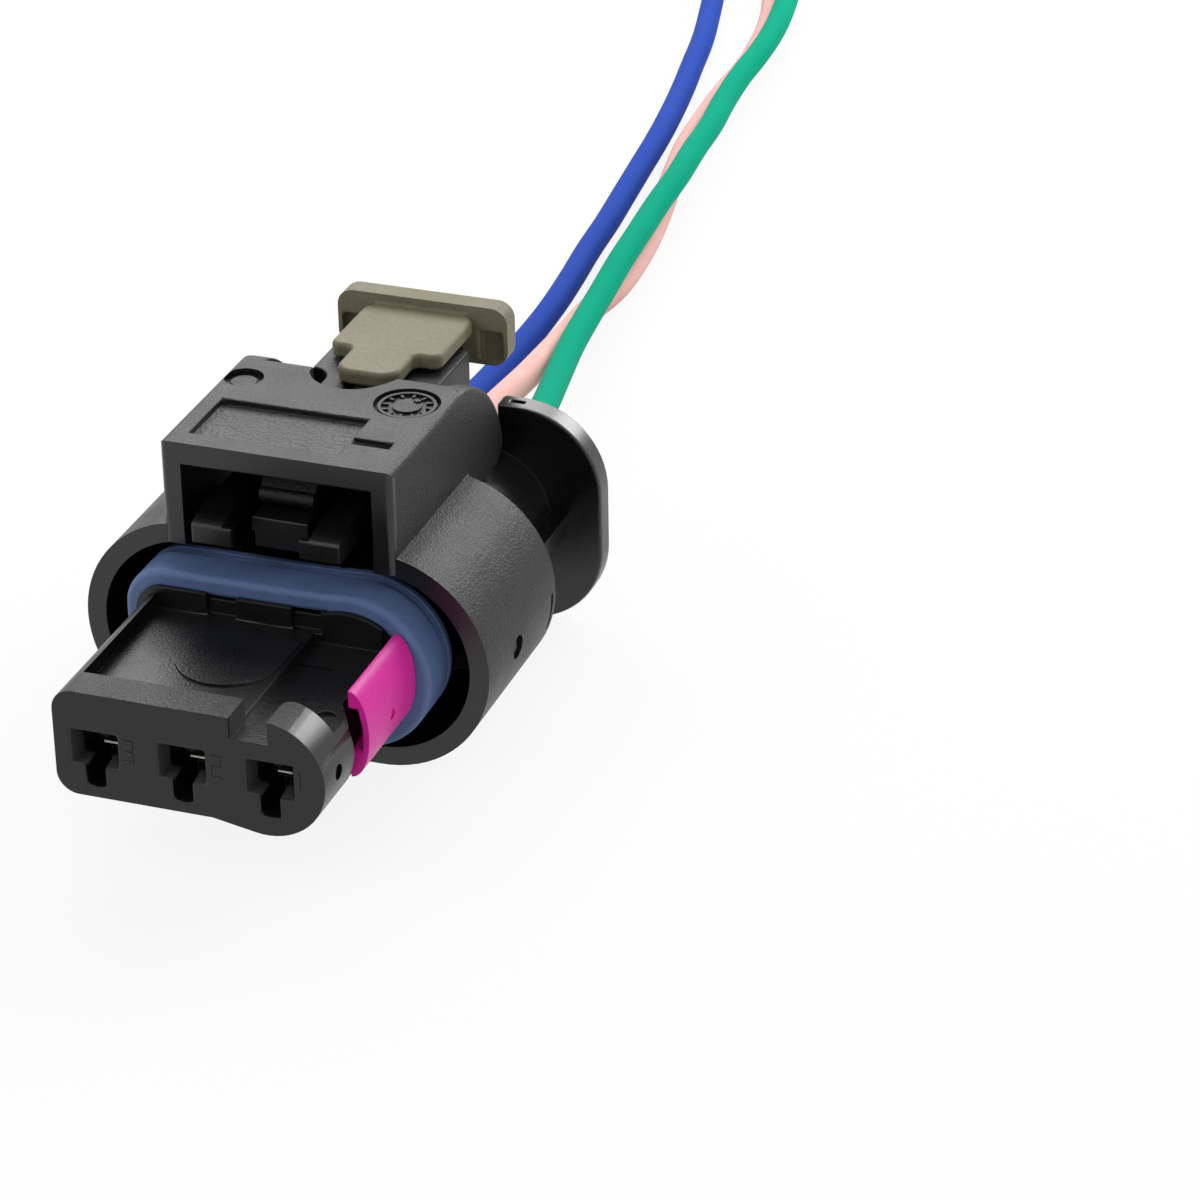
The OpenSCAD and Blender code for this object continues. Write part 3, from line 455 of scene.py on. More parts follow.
def seen_light(tree: bpy.types.NodeTree) -> bpy.types.NodeSocket:
    """Adds the nodes that tell light that is seen, straight, in a gloss or through glass, from stray light.

    Args:
        tree: the node tree of the world or of a material.

    Returns:
        A socket that is 1 for seen light and 0 for stray light.
    """
    path = add(tree, "ShaderNodeLightPath").outputs
    seen = add(tree, "ShaderNodeMath", {0: path["Is Camera Ray"], 1: path["Is Glossy Ray"]},
               operation="MAXIMUM")
    seen = add(tree, "ShaderNodeMath", {0: seen.outputs[0], 1: path["Is Transmission Ray"]},
               operation="MAXIMUM")
    return seen.outputs[0]


@dataclass
class Studio:
    """White table and room with soft lamps, as for a catalogue photograph."""

    table_mm: float = 4000.0
    ambient: float = 0.52
    table_glow: float = 0.88
    table_white: float = 0.8
    lamps: tuple[Softbox, ...] = (
        Softbox("back_softbox", place_mm=(-90, 240, 205), size_mm=(260, 200), watts=0.75),
        Softbox("back_right_softbox", place_mm=(110, 250, 150), size_mm=(140, 110), watts=0.55),
        Softbox("front_left_softbox", place_mm=(-240, -160, 220), size_mm=(200, 160), watts=0.25),
    )

    def light(self) -> None:
        """Sets the view transform, the white room and the lamps."""
        scene = bpy.context.scene
        scene.view_settings.view_transform = "Standard"
        world = bpy.data.worlds.new("white_room")
        world.use_nodes = True
        scene.world = world
        tree = world.node_tree
        tree.nodes.clear()
        level = add(tree, "ShaderNodeMapRange", {
            "Value": seen_light(tree), "To Min": self.ambient, "To Max": 1.0})
        white = add(tree, "ShaderNodeBackground", {"Color": WHITE, "Strength": level.outputs["Result"]})
        add(tree, "ShaderNodeOutputWorld", {"Surface": white.outputs["Background"]})
        for lamp in self.lamps:
            lamp.place()

    def table(self) -> None:
        """Adds the white table, which keeps a soft shadow and is white to the camera."""
        bpy.ops.object.select_all(action="DESELECT")
        bpy.ops.mesh.primitive_plane_add(size=self.table_mm * MM, location=(0, 0, 0))
        table = bpy.context.object
        table.name = "table"
        material, tree = new_material("white_table")
        glow = add(tree, "ShaderNodeEmission", {"Color": WHITE, "Strength": 1.0})
        paper = add(tree, "ShaderNodeBsdfDiffuse", {"Color": shade(WHITE, self.table_white)})
        share = add(tree, "ShaderNodeMath", {0: seen_light(tree), 1: self.table_glow},
                    operation="MULTIPLY")
        mix = add(tree, "ShaderNodeMixShader", {
            0: share.outputs[0], 1: paper.outputs["BSDF"], 2: glow.outputs["Emission"]})
        add(tree, "ShaderNodeOutputMaterial", {"Surface": mix.outputs["Shader"]})
        table.data.materials.append(material)


@dataclass(frozen=True)
class EdgeZone:
    """A box, in millimetres, in which edges get a radius of their own."""

    low: tuple[float, float, float]
    high: tuple[float, float, float]
    radius_mm: float

    def holds(self, edge: bmesh.types.BMEdge) -> bool:
        """Tells whether both ends of an edge lie in the box."""
        return all(l <= c <= h for end in edge.verts for l, c, h in zip(self.low, end.co, self.high))


@dataclass(frozen=True)
class FinishPatch:
    """A box, in millimetres, in which faces get a finish of their own, all or only those that look up."""

    low: tuple[float, float, float]
    high: tuple[float, float, float]
    finish: MouldedPlastic | StampedStrip
    up_only: bool = False

    def holds(self, face: bpy.types.MeshPolygon) -> bool:
        """Tells whether a face has its middle in the box and looks the right way."""
        inside = all(l <= c <= h for l, c, h in zip(self.low, face.center, self.high))
        return inside and (face.normal.z > LOOKS_UP or not self.up_only)


class Axis(Enum):
    """The plug's axes, as the normals of cuts."""

    ACROSS = (1.0, 0.0, 0.0)
    ALONG = (0.0, 1.0, 0.0)
    UP = (0.0, 0.0, 1.0)


@dataclass(frozen=True)
class Cut:
    """A plane that splits a flat through the middle of its holes, so that its parts have none."""

    axis: Axis
    at_mm: float


@dataclass(frozen=True)
class FlatEdge:
    """A sharp edge as one flat beside it sees it, with the way into that flat."""

    ends: tuple[Vector, Vector]
    inward: Vector
    # Two edges face each other where the product of their inward ways is below this
    facing: float = -0.3
    touch_mm: float = 1e-4

    def gap(self, other: "FlatEdge") -> float:
        """Measures how far another edge of the flat lies opposite this one.

        Args:
            other: an edge of the same flat.

        Returns:
            The distance, or infinity where the two don't face each other.
        """
        if self.inward.dot(other.inward) > self.facing:
            return math.inf
        near = math.inf
        for one, two, turn in ((self, other, 1), (other, self, -1)):
            for point in (*one.ends, (one.ends[0] + one.ends[1]) / 2):
                share = intersect_point_line(point, *two.ends)[1]
                foot = two.ends[0].lerp(two.ends[1], min(1.0, max(0.0, share)))
                if turn * (foot - point).dot(self.inward) > self.touch_mm:
                    near = min(near, (foot - point).length)
        return near


@dataclass
class EdgeRun:
    """Sharp edges that run on into each other, and so share one radius."""

    radius_mm: float
    edges: list[int] = field(default_factory=list)
    ends: list[tuple[Vector, Vector]] = field(default_factory=list)
    # A fold lies beside the run when it is nearer than this many radii
    reach_radii: float = 2.5

    def meets(self, folds: KDTree) -> bool:
        """Tells whether a fold of the rounded mesh lies beside the run.

        Args:
            folds: the places of all folds.

        Returns:
            True where one lies within a few radii of an edge.
        """
        reach = self.reach_radii * self.radius_mm
        for a, b in self.ends:
            for point, _, _ in folds.find_range((a + b) / 2, reach + (b - a).length / 2):
                share = min(1.0, max(0.0, intersect_point_line(point, a, b)[1]))
                if (a.lerp(b, share) - point).length < reach:
                    return True
        return False

    def ease(self, least_mm: float) -> None:
        """Halves the radius, or leaves the run sharp below the least radius.

        Args:
            least_mm: the smallest radius worth making.
        """
        self.radius_mm = self.radius_mm / 2 if self.radius_mm > 2 * least_mm else 0.0


@dataclass
class MouldedPiece:
    """A moulded or stamped CAD piece whose sharp edges get the small radii that a mould or die gives."""

    node: str
    body: Body
    slot: str
    finish: MouldedPlastic | Silicone | StampedStrip
    edge_mm: float
    segments: int = 2
    cuts: tuple[Cut, ...] = ()
    zones: tuple[EdgeZone, ...] = ()
    patches: tuple[FinishPatch, ...] = ()
    made: str = "moulding"
    # The share of its room that a radius may take, and the angles that tell a flat, a fold and a run
    room_share: float = 0.35
    flat_deg: float = 0.3
    fold_deg: float = 125.0
    run_deg: float = 40.0
    # How close corners merge, how often and down to what radii are eased, and how flats weigh in the shading
    merge_mm: float = 0.002
    tries: int = 8
    least_mm: float = 0.012
    flat_weight: int = 100

    def build(self) -> None:
        """Copies the CAD mesh, rounds its edges, gives it its finish and puts it in the node's place."""
        piece = self.merged_copy()
        self.reshape(piece.data)
        self.round_edges(piece)
        self.smooth_shade(piece)
        self.dress(piece)
        piece.data.transform(Matrix.Scale(MM, 4))
        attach(piece, self.body.value)
        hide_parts(self.node)
        LOG.info("%s: %d faces", piece.name, len(piece.data.polygons))

    def merged_copy(self) -> bpy.types.Object:
        """Copies the node's mesh in millimetres, with its loose triangles merged to whole faces.

        Returns:
            The copy.
        """
        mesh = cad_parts[self.node].data.copy()
        mesh.transform(Matrix.Scale(1 / MM, 4))
        piece = link_new(f"{self.node}_{self.made}", mesh)
        select_only(piece)
        bpy.ops.mesh.customdata_custom_splitnormals_clear()
        bpy.ops.object.mode_set(mode="EDIT")
        bpy.ops.mesh.select_all(action="SELECT")
        bpy.ops.mesh.remove_doubles(threshold=self.merge_mm)
        for cut in self.cuts:
            bpy.ops.mesh.select_all(action="SELECT")
            bpy.ops.mesh.bisect(plane_co=Vector(cut.axis.value) * cut.at_mm, plane_no=cut.axis.value)
            bpy.ops.mesh.mark_seam()
        bpy.ops.mesh.select_all(action="SELECT")
        bpy.ops.mesh.dissolve_limited(angle_limit=math.radians(self.flat_deg), delimit={"SEAM"})
        bpy.ops.mesh.mark_seam(clear=True)
        bpy.ops.object.mode_set(mode="OBJECT")
        return piece

    def reshape(self, mesh: bpy.types.Mesh) -> None:
        """Keeps the CAD's shape: a piece with a softer one has its own class for it.

        Args:
            mesh: the merged copy's mesh, in millimetres.
        """

    def largest_radius(self) -> float:
        """Gives the largest radius on the piece, in millimetres."""
        return max([self.edge_mm] + [zone.radius_mm for zone in self.zones])

    def is_sharp(self, edge: bmesh.types.BMEdge) -> bool:
        """Tells whether the two faces at an edge meet at a clear angle."""
        return len(edge.link_faces) == 2 and edge.calc_face_angle() > math.radians(SHARP_DEG)

    def flats(self, mesh: bmesh.types.BMesh) -> list[list[bmesh.types.BMFace]]:
        """Groups the faces that lie in one plane and touch.

        Args:
            mesh: the merged copy.

        Returns:
            One list of faces for each flat.
        """
        found, seen = [], set()
        for first in mesh.faces:
            if first in seen:
                continue
            seen.add(first)
            flat, waiting = [], [first]
            while waiting:
                face = waiting.pop()
                flat.append(face)
                for edge in face.edges:
                    if len(edge.link_faces) != 2 or edge.calc_face_angle() > math.radians(self.flat_deg):
                        continue
                    beside = [f for f in edge.link_faces if f not in seen]
                    seen.update(beside)
                    waiting.extend(beside)
            found.append(flat)
        return found

    def rooms(self, mesh: bmesh.types.BMesh) -> dict[bmesh.types.BMEdge, float]:
        """Measures the room that the flats leave at each sharp edge.

        Args:
            mesh: the merged copy.

        Returns:
            For each sharp edge the way to the nearest edge opposite, or to the far side of its face.
        """
        room = {}
        for flat in self.flats(mesh):
            sides = {}
            for loop in (l for face in flat for l in face.loops if self.is_sharp(l.edge)):
                ends = (loop.vert.co.copy(), loop.link_loop_next.vert.co.copy())
                along = (ends[1] - ends[0]).normalized()
                sides[loop.edge] = FlatEdge(ends, loop.face.normal.cross(along))
                reach = max((v.co - ends[0]).cross(along).length for v in loop.face.verts)
                room[loop.edge] = min(room.get(loop.edge, math.inf), reach)
            for edge, side in sides.items():
                room[edge] = min([room[edge]] + [side.gap(o) for e, o in sides.items() if e is not edge])
        return room

    def next_in_run(self, edge: bmesh.types.BMEdge) -> list[bmesh.types.BMEdge]:
        """Finds the sharp edges that an edge runs on into, straight or in a gentle curve.

        Args:
            edge: a sharp edge.

        Returns:
            Up to two edges, one at each end.
        """
        found = []
        for corner in edge.verts:
            others = [e for e in corner.link_edges if e is not edge and self.is_sharp(e)]
            if len(others) == 1:
                ways = [e.other_vert(corner).co - corner.co for e in (edge, others[0])]
                if ways[0].angle(-ways[1]) < math.radians(self.run_deg):
                    found += others
        return found

    def runs(self, piece: bpy.types.Object) -> list[EdgeRun]:
        """Chooses each run's radius: its zone's, as far as the flats beside it leave room.

        Args:
            piece: the merged copy, in millimetres.

        Returns:
            The runs of sharp edges with their radii.
        """
        mesh = bmesh.new()
        mesh.from_mesh(piece.data)
        room = self.rooms(mesh)
        found, seen = [], set()
        for first in room:
            if first in seen:
                continue
            seen.add(first)
            run, waiting = EdgeRun(self.largest_radius()), [first]
            while waiting:
                edge = waiting.pop()
                wanted = next((zone.radius_mm for zone in self.zones if zone.holds(edge)), self.edge_mm)
                run.radius_mm = min(run.radius_mm, wanted, self.room_share * room[edge])
                run.edges.append(edge.index)
                run.ends.append(tuple(v.co.copy() for v in edge.verts))
                onward = [e for e in self.next_in_run(edge) if e not in seen]
                seen.update(onward)
                waiting += onward
            found.append(run)
        mesh.free()
        return found

    def crossings(self, face: bmesh.types.BMFace) -> list[Vector]:
        """Finds where the outline of a face crosses itself.

        Args:
            face: a face of the rounded mesh.

        Returns:
            The corners beside each crossing.
        """
        drop = max(range(3), key=lambda i: abs(face.normal[i]))
        flat = [Vector([c for i, c in enumerate(v.co) if i != drop]) for v in face.verts]
        count, found = len(flat), []
        for i in range(count):
            for j in range(i + 2, count - (i == 0)):
                if intersect_line_line_2d(flat[i], flat[i - count + 1], flat[j], flat[j - count + 1]):
                    found += [face.verts[k % count].co.copy() for k in (i, i + 1, j, j + 1)]
        return found

    def folds(self, piece: bpy.types.Object) -> list[Vector]:
        """Finds the places where the rounded mesh folds over or cuts itself.

        Args:
            piece: the copy with its live bevel.

        Returns:
            Points at the folds.
        """
        shown = piece.evaluated_get(bpy.context.evaluated_depsgraph_get())
        mesh = bmesh.new()
        mesh.from_mesh(shown.to_mesh())
        places = [v.co.copy() for edge in mesh.edges for v in edge.verts
                  if len(edge.link_faces) != 2 or edge.calc_face_angle() > math.radians(self.fold_deg)]
        for face in mesh.faces:
            places += self.crossings(face)
        bmesh.ops.triangulate(mesh, faces=mesh.faces)
        mesh.faces.ensure_lookup_table()
        tree = BVHTree.FromBMesh(mesh)
        for one, two in tree.overlap(tree):
            corners = [mesh.faces[one].verts, mesh.faces[two].verts]
            if one < two and not set(corners[0]) & set(corners[1]):
                small = min(mesh.faces[one], mesh.faces[two], key=lambda f: f.calc_area())
                places.append(small.calc_center_median())
        mesh.free()
        shown.to_mesh_clear()
        return places

    def round_edges(self, piece: bpy.types.Object) -> None:
        """Rounds the sharp edges, and eases the radii wherever the mesh would fold over itself.

        Args:
            piece: the merged copy, in millimetres.
        """
        select_only(piece)
        runs = self.runs(piece)
        share = piece.data.attributes.new("bevel_weight_edge", "FLOAT", "EDGE")
        bevel = piece.modifiers.new("edges", "BEVEL")
        bevel.width = self.largest_radius()
        bevel.segments = self.segments
        bevel.limit_method = "WEIGHT"
        bevel.use_clamp_overlap = False
        for _ in range(self.tries):
            for run in runs:
                for edge in run.edges:
                    share.data[edge].value = run.radius_mm / self.largest_radius()
            piece.data.update()
            places = self.folds(piece)
            if not places:
                break
            folds = KDTree(len(places))
            for index, place in enumerate(places):
                folds.insert(place, index)
            folds.balance()
            for run in runs:
                if run.radius_mm and run.meets(folds):
                    run.ease(self.least_mm)
        LOG.info("%s: %d folds left", piece.name, len(places))
        bpy.ops.object.modifier_apply(modifier=bevel.name)

    def smooth_shade(self, piece: bpy.types.Object) -> None:
        """Shades the curves smooth and keeps the flat faces flat to the eye.

        Args:
            piece: the rounded copy, in millimetres.
        """
        select_only(piece)
        bpy.ops.object.shade_smooth_by_angle(angle=math.radians(SHARP_DEG))
        flats = piece.modifiers.new("flats", "WEIGHTED_NORMAL")
        flats.keep_sharp = True
        flats.weight = self.flat_weight
        bpy.ops.object.modifier_apply(modifier=flats.name)

    def dress(self, piece: bpy.types.Object) -> None:
        """Gives the piece its finish, and each patch its own.

        Args:
            piece: the rounded copy, in millimetres.
        """
        piece.data.materials.clear()
        piece.data.materials.append(self.finish.build())
        for index, patch in enumerate(self.patches, start=1):
            piece.data.materials.append(patch.finish.build())
            for face in piece.data.polygons:
                if patch.holds(face):
                    face.material_index = index


@dataclass
class SideLock(MouldedPiece):
    """The side lock, whose outer face is half an oval from top to bottom."""

    # Where the outer wall springs from, the height of its middle, and half its height
    root_mm: float = 5.95
    middle_mm: float = 5.695
    half_mm: float = 2.075
    # How far the oval stands out, and what stays flat at its two ends
    crown_mm: float = 0.9
    end_mm: float = 0.005
    # The CAD's own wall: how far it stands out, and the radius of its corners
    wall_mm: float = 0.8
    corner_mm: float = 0.9

    def reshape(self, mesh: bpy.types.Mesh) -> None:
        """Draws the outer wall out to the oval.

        Args:
            mesh: the merged copy's mesh, in millimetres.
        """
        for corner in mesh.vertices:
            if corner.co.x > self.root_mm:
                height = min(abs(corner.co.z - self.middle_mm), self.half_mm - self.end_mm)
                arc = height - self.half_mm + self.corner_mm
                wall = math.sqrt(max(0.0, self.corner_mm ** 2 - arc ** 2))
                if arc < 0:
                    wall = max(wall, self.wall_mm)
                oval = self.crown_mm * math.sqrt(1 - (height / self.half_mm) ** 2)
                corner.co.x = self.root_mm + (corner.co.x - self.root_mm) * oval / wall


@dataclass
class SealRing(MouldedPiece):
    """The seal, whose top runs on smoothly where the carrier below it steps up."""

    # Where the step is, how far the dent reaches to its sides, and how deep it is
    step_mm: float = 2.5
    reach_mm: float = 0.75
    lift_mm: float = 0.12
    # What lies higher than this is the top of the seal
    top_mm: float = 7.9

    def reshape(self, mesh: bpy.types.Mesh) -> None:
        """Fills the dent over the step.

        Args:
            mesh: the merged copy's mesh, in millimetres.
        """
        for corner in mesh.vertices:
            away = abs(corner.co.x - self.step_mm) / self.reach_mm
            if corner.co.z > self.top_mm and away < 1:
                corner.co.z += self.lift_mm * math.cos(away * math.pi / 2) ** 2


@dataclass
class PigtailWire:
    """One loose wire: smooth insulation along the CAD's route, and twisted strands at its bare end."""

    name: str
    finish: Insulation
    slot: str
    points: tuple[tuple[float, float, float], ...]
    diameter_mm: float = 1.4
    strand_mm: float = 0.3
    strip_mm: float = 5.0
    twist_turns: float = 1.2
    around: int = 6
    exit_index: int = 1
    section_steps: int = 6
    route_steps: int = 6
    strand_section_steps: int = 2
    strand_steps: int = 16

    def route(self) -> list[Vector]:
        """Gives the route's points in the CAD's frame, in metres."""
        return [Vector((x, y + MATING_FACE_MM, z + PIN_ROW_MM)) * MM for x, y, z in self.points]

    def build(self) -> None:
        route = self.route()
        piece = self.insulation(route)
        ends = self.stranded_end(route)
        LOG.info("%s: %.1f mm", piece.name, self.length(route) / MM)

    def length(self, route: list[Vector]) -> float:
        """Gives the insulation's length along the route, in metres."""
        return sum((b - a).length for a, b in zip(route, route[1:]))

    def insulation(self, route: list[Vector]) -> bpy.types.Object:
        """Makes the insulation as one smooth curve with a round section.

        Args:
            route: the route's points.

        Returns:
            The curve object.
        """
        curve = round_curve(self.name + "_insulation", self.diameter_mm, self.section_steps)
        curve.resolution_u = self.route_steps
        spline = curve.splines.new("BEZIER")
        spline.bezier_points.add(len(route) - 1)
        for point, place in zip(spline.bezier_points, route):
            point.co = place
            point.handle_left_type = point.handle_right_type = "AUTO"
        curve.materials.append(self.finish.build())
        piece = link_new(self.name + "_insulation", curve)
        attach(piece, Body.PLUG.value)
        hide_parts("wire_" + self.name)
        return piece

    def stranded_end(self, route: list[Vector]) -> bpy.types.Object:
        """Makes the bare end: one straight strand with others laid round it.

        Args:
            route: the route's points.

        Returns:
            The strands as one mesh.
        """
        way = (route[-1] - route[-2]).normalized()
        side = way.cross(Vector((0, 0, 1))).normalized()
        rise = side.cross(way)
        curve = round_curve(self.name + "_strands", self.strand_mm, self.strand_section_steps)
        for strand in range(self.around + 1):
            ring = 0.0 if strand == self.around else self.strand_mm * MM
            spline = curve.splines.new("POLY")
            spline.points.add(self.strand_steps)
            for step, point in enumerate(spline.points):
                share = step / self.strand_steps
                angle = math.tau * (strand / self.around + self.twist_turns * share)
                place = route[-1] + way * (share * self.strip_mm * MM)
                place += ring * (math.cos(angle) * side + math.sin(angle) * rise)
                point.co = (*place, 1.0)
        curve.materials.append(COPPER_STRAND.build())
        piece = curve_to_mesh(curve)
        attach(piece, Body.PLUG.value)
        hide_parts("conductor_" + self.name)
        return piece


# The wires' routes in millimetres, as in the CAD: from the middle, the mating face and the pins' row
BLUE_ROUTE = (
    (-4, 12.58, 0), (-4, 26.9, 0), (-4, 29.5, 0), (-4, 33, -1), (-4.2, 37, -2.4), (-4.4, 41, -3.7),
    (-4.5, 45, -4.4), (-4.5, 49, -4.65), (-4.4, 53, -4.65), (-4.5, 57, -4.65), (-4.8, 61, -4.65),
    (-5.2, 65, -4.65), (-5.5, 69, -4.65), (-5.9, 73, -4.65), (-6.3, 77, -4.65), (-6.7, 81, -4.65),
    (-7.2, 85, -4.65), (-7.8, 89, -4.65), (-8.5, 93, -4.65), (-9.2, 97, -4.65), (-10.1, 101, -4.65),
    (-11.1, 105, -4.65), (-12.3, 109, -4.65), (-13.6, 113, -4.65), (-15.1, 117, -4.65), (-16.7, 121, -4.65))
PINK_ROUTE = (
    (0, 12.58, 0), (0, 26.9, 0), (0, 29.5, 0), (-0.3, 33, -0.5), (-0.7, 37, -1.2), (-1, 41, -1.9),
    (-1.3, 45, -2.6), (-1.7, 49, -3.3), (-2.1, 53, -4), (-2.4, 57, -4.5), (-2.1, 61, -4.65),
    (-2.3, 65, -4.65), (-2.8, 69, -4.65), (-3.5, 73, -4.65), (-4.2, 77, -4.65), (-4.8, 81, -4.65),
    (-5.1, 85, -4.65), (-5.3, 89, -4.65), (-5.3, 93, -4.65), (-5.6, 97, -4.65), (-6.2, 101, -4.65),
    (-7.2, 105, -4.65), (-8.4, 109, -4.65), (-9.7, 113, -4.65), (-11.2, 117, -4.65), (-12.8, 121, -4.65))
GREEN_ROUTE = (
    (4, 12.58, 0), (4, 26.9, 0), (3.9, 29.5, 0), (3.1, 33, -0.3), (2.2, 37, -0.9), (1.3, 41, -1.6),
    (0.4, 45, -2.2), (-0.4, 49, -2.6), (-1, 53, -2.9), (-1.5, 57, -3.1), (-1.9, 61, -3.1),
    (-2.2, 65, -3.1), (-2.5, 69, -3.1), (-2.7, 73, -3.1), (-3.1, 77, -3.2), (-3.4, 81, -3.3),
    (-3.9, 85, -3.4), (-4.2, 89, -3.4), (-4.3, 93, -3.4), (-4.6, 97, -3.4), (-5.2, 101, -3.4),
    (-6, 105, -3.4), (-7, 109, -3.5), (-8.2, 113, -3.8), (-9.6, 117, -4.2), (-11.2, 121, -4.5))


@dataclass
class Pigtail:
    """The three loose wires."""

    wires: tuple[PigtailWire, ...] = (
        PigtailWire("blue", BLUE_INSULATION, "blue_insulation", BLUE_ROUTE),
        PigtailWire("pink", PINK_INSULATION, "pink_insulation", PINK_ROUTE),
        PigtailWire("green", GREEN_INSULATION, "green_insulation", GREEN_ROUTE),
    )

    def build(self) -> None:
        """Makes each wire."""
        for wire in self.wires:
            wire.build()


# Edges of the housing that the mould leaves rounder: the flange and the cheeks
HOUSING_ZONES = (
    EdgeZone((-10, 11.0, -1), (10, 12.3, 11), radius_mm=0.3),
    EdgeZone((5.2, 3.9, 9.0), (5.6, 9.9, 14.6), radius_mm=0.25),
    EdgeZone((-5.6, 3.9, 9.0), (-5.2, 9.9, 14.6), radius_mm=0.25),
)
# Outline of the carrier's front face: top, bottom, left and right
CARRIER_ZONES = (
    EdgeZone((-7, -14.7, 7.2), (7, -14.5, 8.2), radius_mm=0.3),
    EdgeZone((-7, -14.7, 2.4), (7, -14.5, 3.3), radius_mm=0.3),
    EdgeZone((-7, -14.7, 2.4), (-5.5, -14.5, 8.2), radius_mm=0.3),
    EdgeZone((5.3, -14.7, 2.4), (7, -14.5, 8.2), radius_mm=0.3),
)
# Floor of the label field in the roof
LABEL_FLOOR = FinishPatch((-4.4, -2.6, 14.1), (2.45, 0.9, 14.3), CRUSTED_BLACK_PBT, up_only=True)
# Neck, flange, and the front frame with the shroud's rim
NECK = FinishPatch((-10, 4.96, -1), (10, 12.4, 9.0), SMOOTH_BLACK_PBT)
FLANGE = FinishPatch((-10, 10.9, -1), (10, 12.4, 11), SMOOTH_BLACK_PBT)
FRONT_FRAME = FinishPatch((-10, -3.9, -1), (10, -3.4, 15), SMOOTH_BLACK_PBT)
# Front of the lever, with its hooks
HOOKS = FinishPatch((-5.5, -6.0, 5.0), (5.5, 0.5, 15.0), SMOOTH_BLACK_PBT)
# Floor of the pocket in the carrier's top, with its round pad and its groove
POCKET_FLOOR = FinishPatch((-5.2, -13.2, 6.7), (6.2, -5.2, 7.5), POLISHED_BLACK_PBT, up_only=True)
# Top of the carrier's front bar and block
FRONT_BAR = FinishPatch((-7, -14.7, 7.5), (7, -12.9, 8.4), GRAINED_BLACK_PBT, up_only=True)
# Lead-ins of the pin openings, in a copy of the black with painted light, and the lips of the terminals
# behind them, with a painted glint
LEAD_INS_PAINTED_LIGHT = FinishPatch((-5.2, -14.6, 4.5), (5.2, -14.0, 6.3), LEAD_IN_PAINTED_LIGHT_PBT)
LIP_GLINT_PATCH = FinishPatch((-5.2, -13.1, 3.0), (5.2, -12.95, 8.0), LIP_PAINTED_GLINT_METAL)
# Cuts through the pins' row, the lever's pivot, the round mark in the shroud's side and the shelf's hole
PIN_CUTS = tuple(Cut(Axis.ACROSS, place) for place in PIN_PLACES_MM)
PIVOT_CUT = Cut(Axis.ALONG, 2.35)
ROUND_MARK_CUT = Cut(Axis.ALONG, 0.05)
SHELF_HOLE_CUT = Cut(Axis.ACROSS, 5.2)
# Cuts through the slide lock's pockets and its middle, and through the seal's middle
SLIDE_LOCK_CUTS = tuple(Cut(Axis.ACROSS, place) for place in (-3.4, 0.0, 3.4))
SEAL_CUTS = (Cut(Axis.ACROSS, 0.0),)
# Cuts through the side lock's dimple, and across its outer face, which bends at them
SIDE_LOCK_CUTS = (*PIN_CUTS, Cut(Axis.ALONG, -7.98),
                  *(Cut(Axis.UP, height) for height in (5.2, 5.5, 5.85, 6.2)))


@dataclass
class Mouldings:
    """The moulded pieces that show."""

    pieces: tuple[MouldedPiece, ...] = (
        MouldedPiece("housing", Body.PLUG, "housing_plastic", GRAINED_BLACK_PBT, edge_mm=0.12,
                     cuts=(*PIN_CUTS, PIVOT_CUT, ROUND_MARK_CUT), zones=HOUSING_ZONES,
                     patches=(LABEL_FLOOR, NECK, FLANGE, FRONT_FRAME)),
        MouldedPiece("latch_lever", Body.LEVER, "housing_plastic", GRAINED_BLACK_PBT, edge_mm=0.12,
                     cuts=(PIVOT_CUT,), patches=(HOOKS,)),
        MouldedPiece("cpa_slider", Body.SLIDE_LOCK, "slide_lock_plastic", OLIVE_PBT, edge_mm=0.22,
                     segments=3, cuts=SLIDE_LOCK_CUTS),
        MouldedPiece("contact_carrier", Body.PLUG, "carrier_plastic", SATIN_BLACK_PBT, edge_mm=0.12,
                     cuts=(*PIN_CUTS, SHELF_HOLE_CUT), zones=CARRIER_ZONES,
                     patches=(POCKET_FLOOR, FRONT_BAR, LEAD_INS_PAINTED_LIGHT)),
        SideLock("tpa_lock", Body.SIDE_LOCK, "side_lock_plastic", MAGENTA_PBT, edge_mm=0.12,
                 segments=3, cuts=SIDE_LOCK_CUTS),
        SealRing("interface_seal", Body.PLUG, "seal_silicone", NAVY_SILICONE, edge_mm=0.35,
                 segments=4, cuts=SEAL_CUTS),
    )

    def build(self) -> None:
        """Makes each moulded piece."""
        for piece in self.pieces:
            piece.build()


def select_faces(piece: bpy.types.Object, wanted: Callable[[bpy.types.MeshPolygon], bool]) -> None:
    """Goes to edit mode with only the wanted faces selected.

    Args:
        piece: the active mesh object.
        wanted: tells whether a face is to be selected.
    """
    bpy.ops.object.mode_set(mode="EDIT")
    bpy.ops.mesh.select_mode(type="FACE")
    bpy.ops.mesh.select_all(action="DESELECT")
    bpy.ops.object.mode_set(mode="OBJECT")
    for face in piece.data.polygons:
        face.select = wanted(face)
    bpy.ops.object.mode_set(mode="EDIT")


def raise_faces(height_mm: float) -> None:
    """Extrudes the selected faces straight up or down.

    Args:
        height_mm: the way up, less than 0 for down.
    """
    bpy.ops.mesh.extrude_region_move(TRANSFORM_OT_translate={"value": (0, 0, height_mm)})


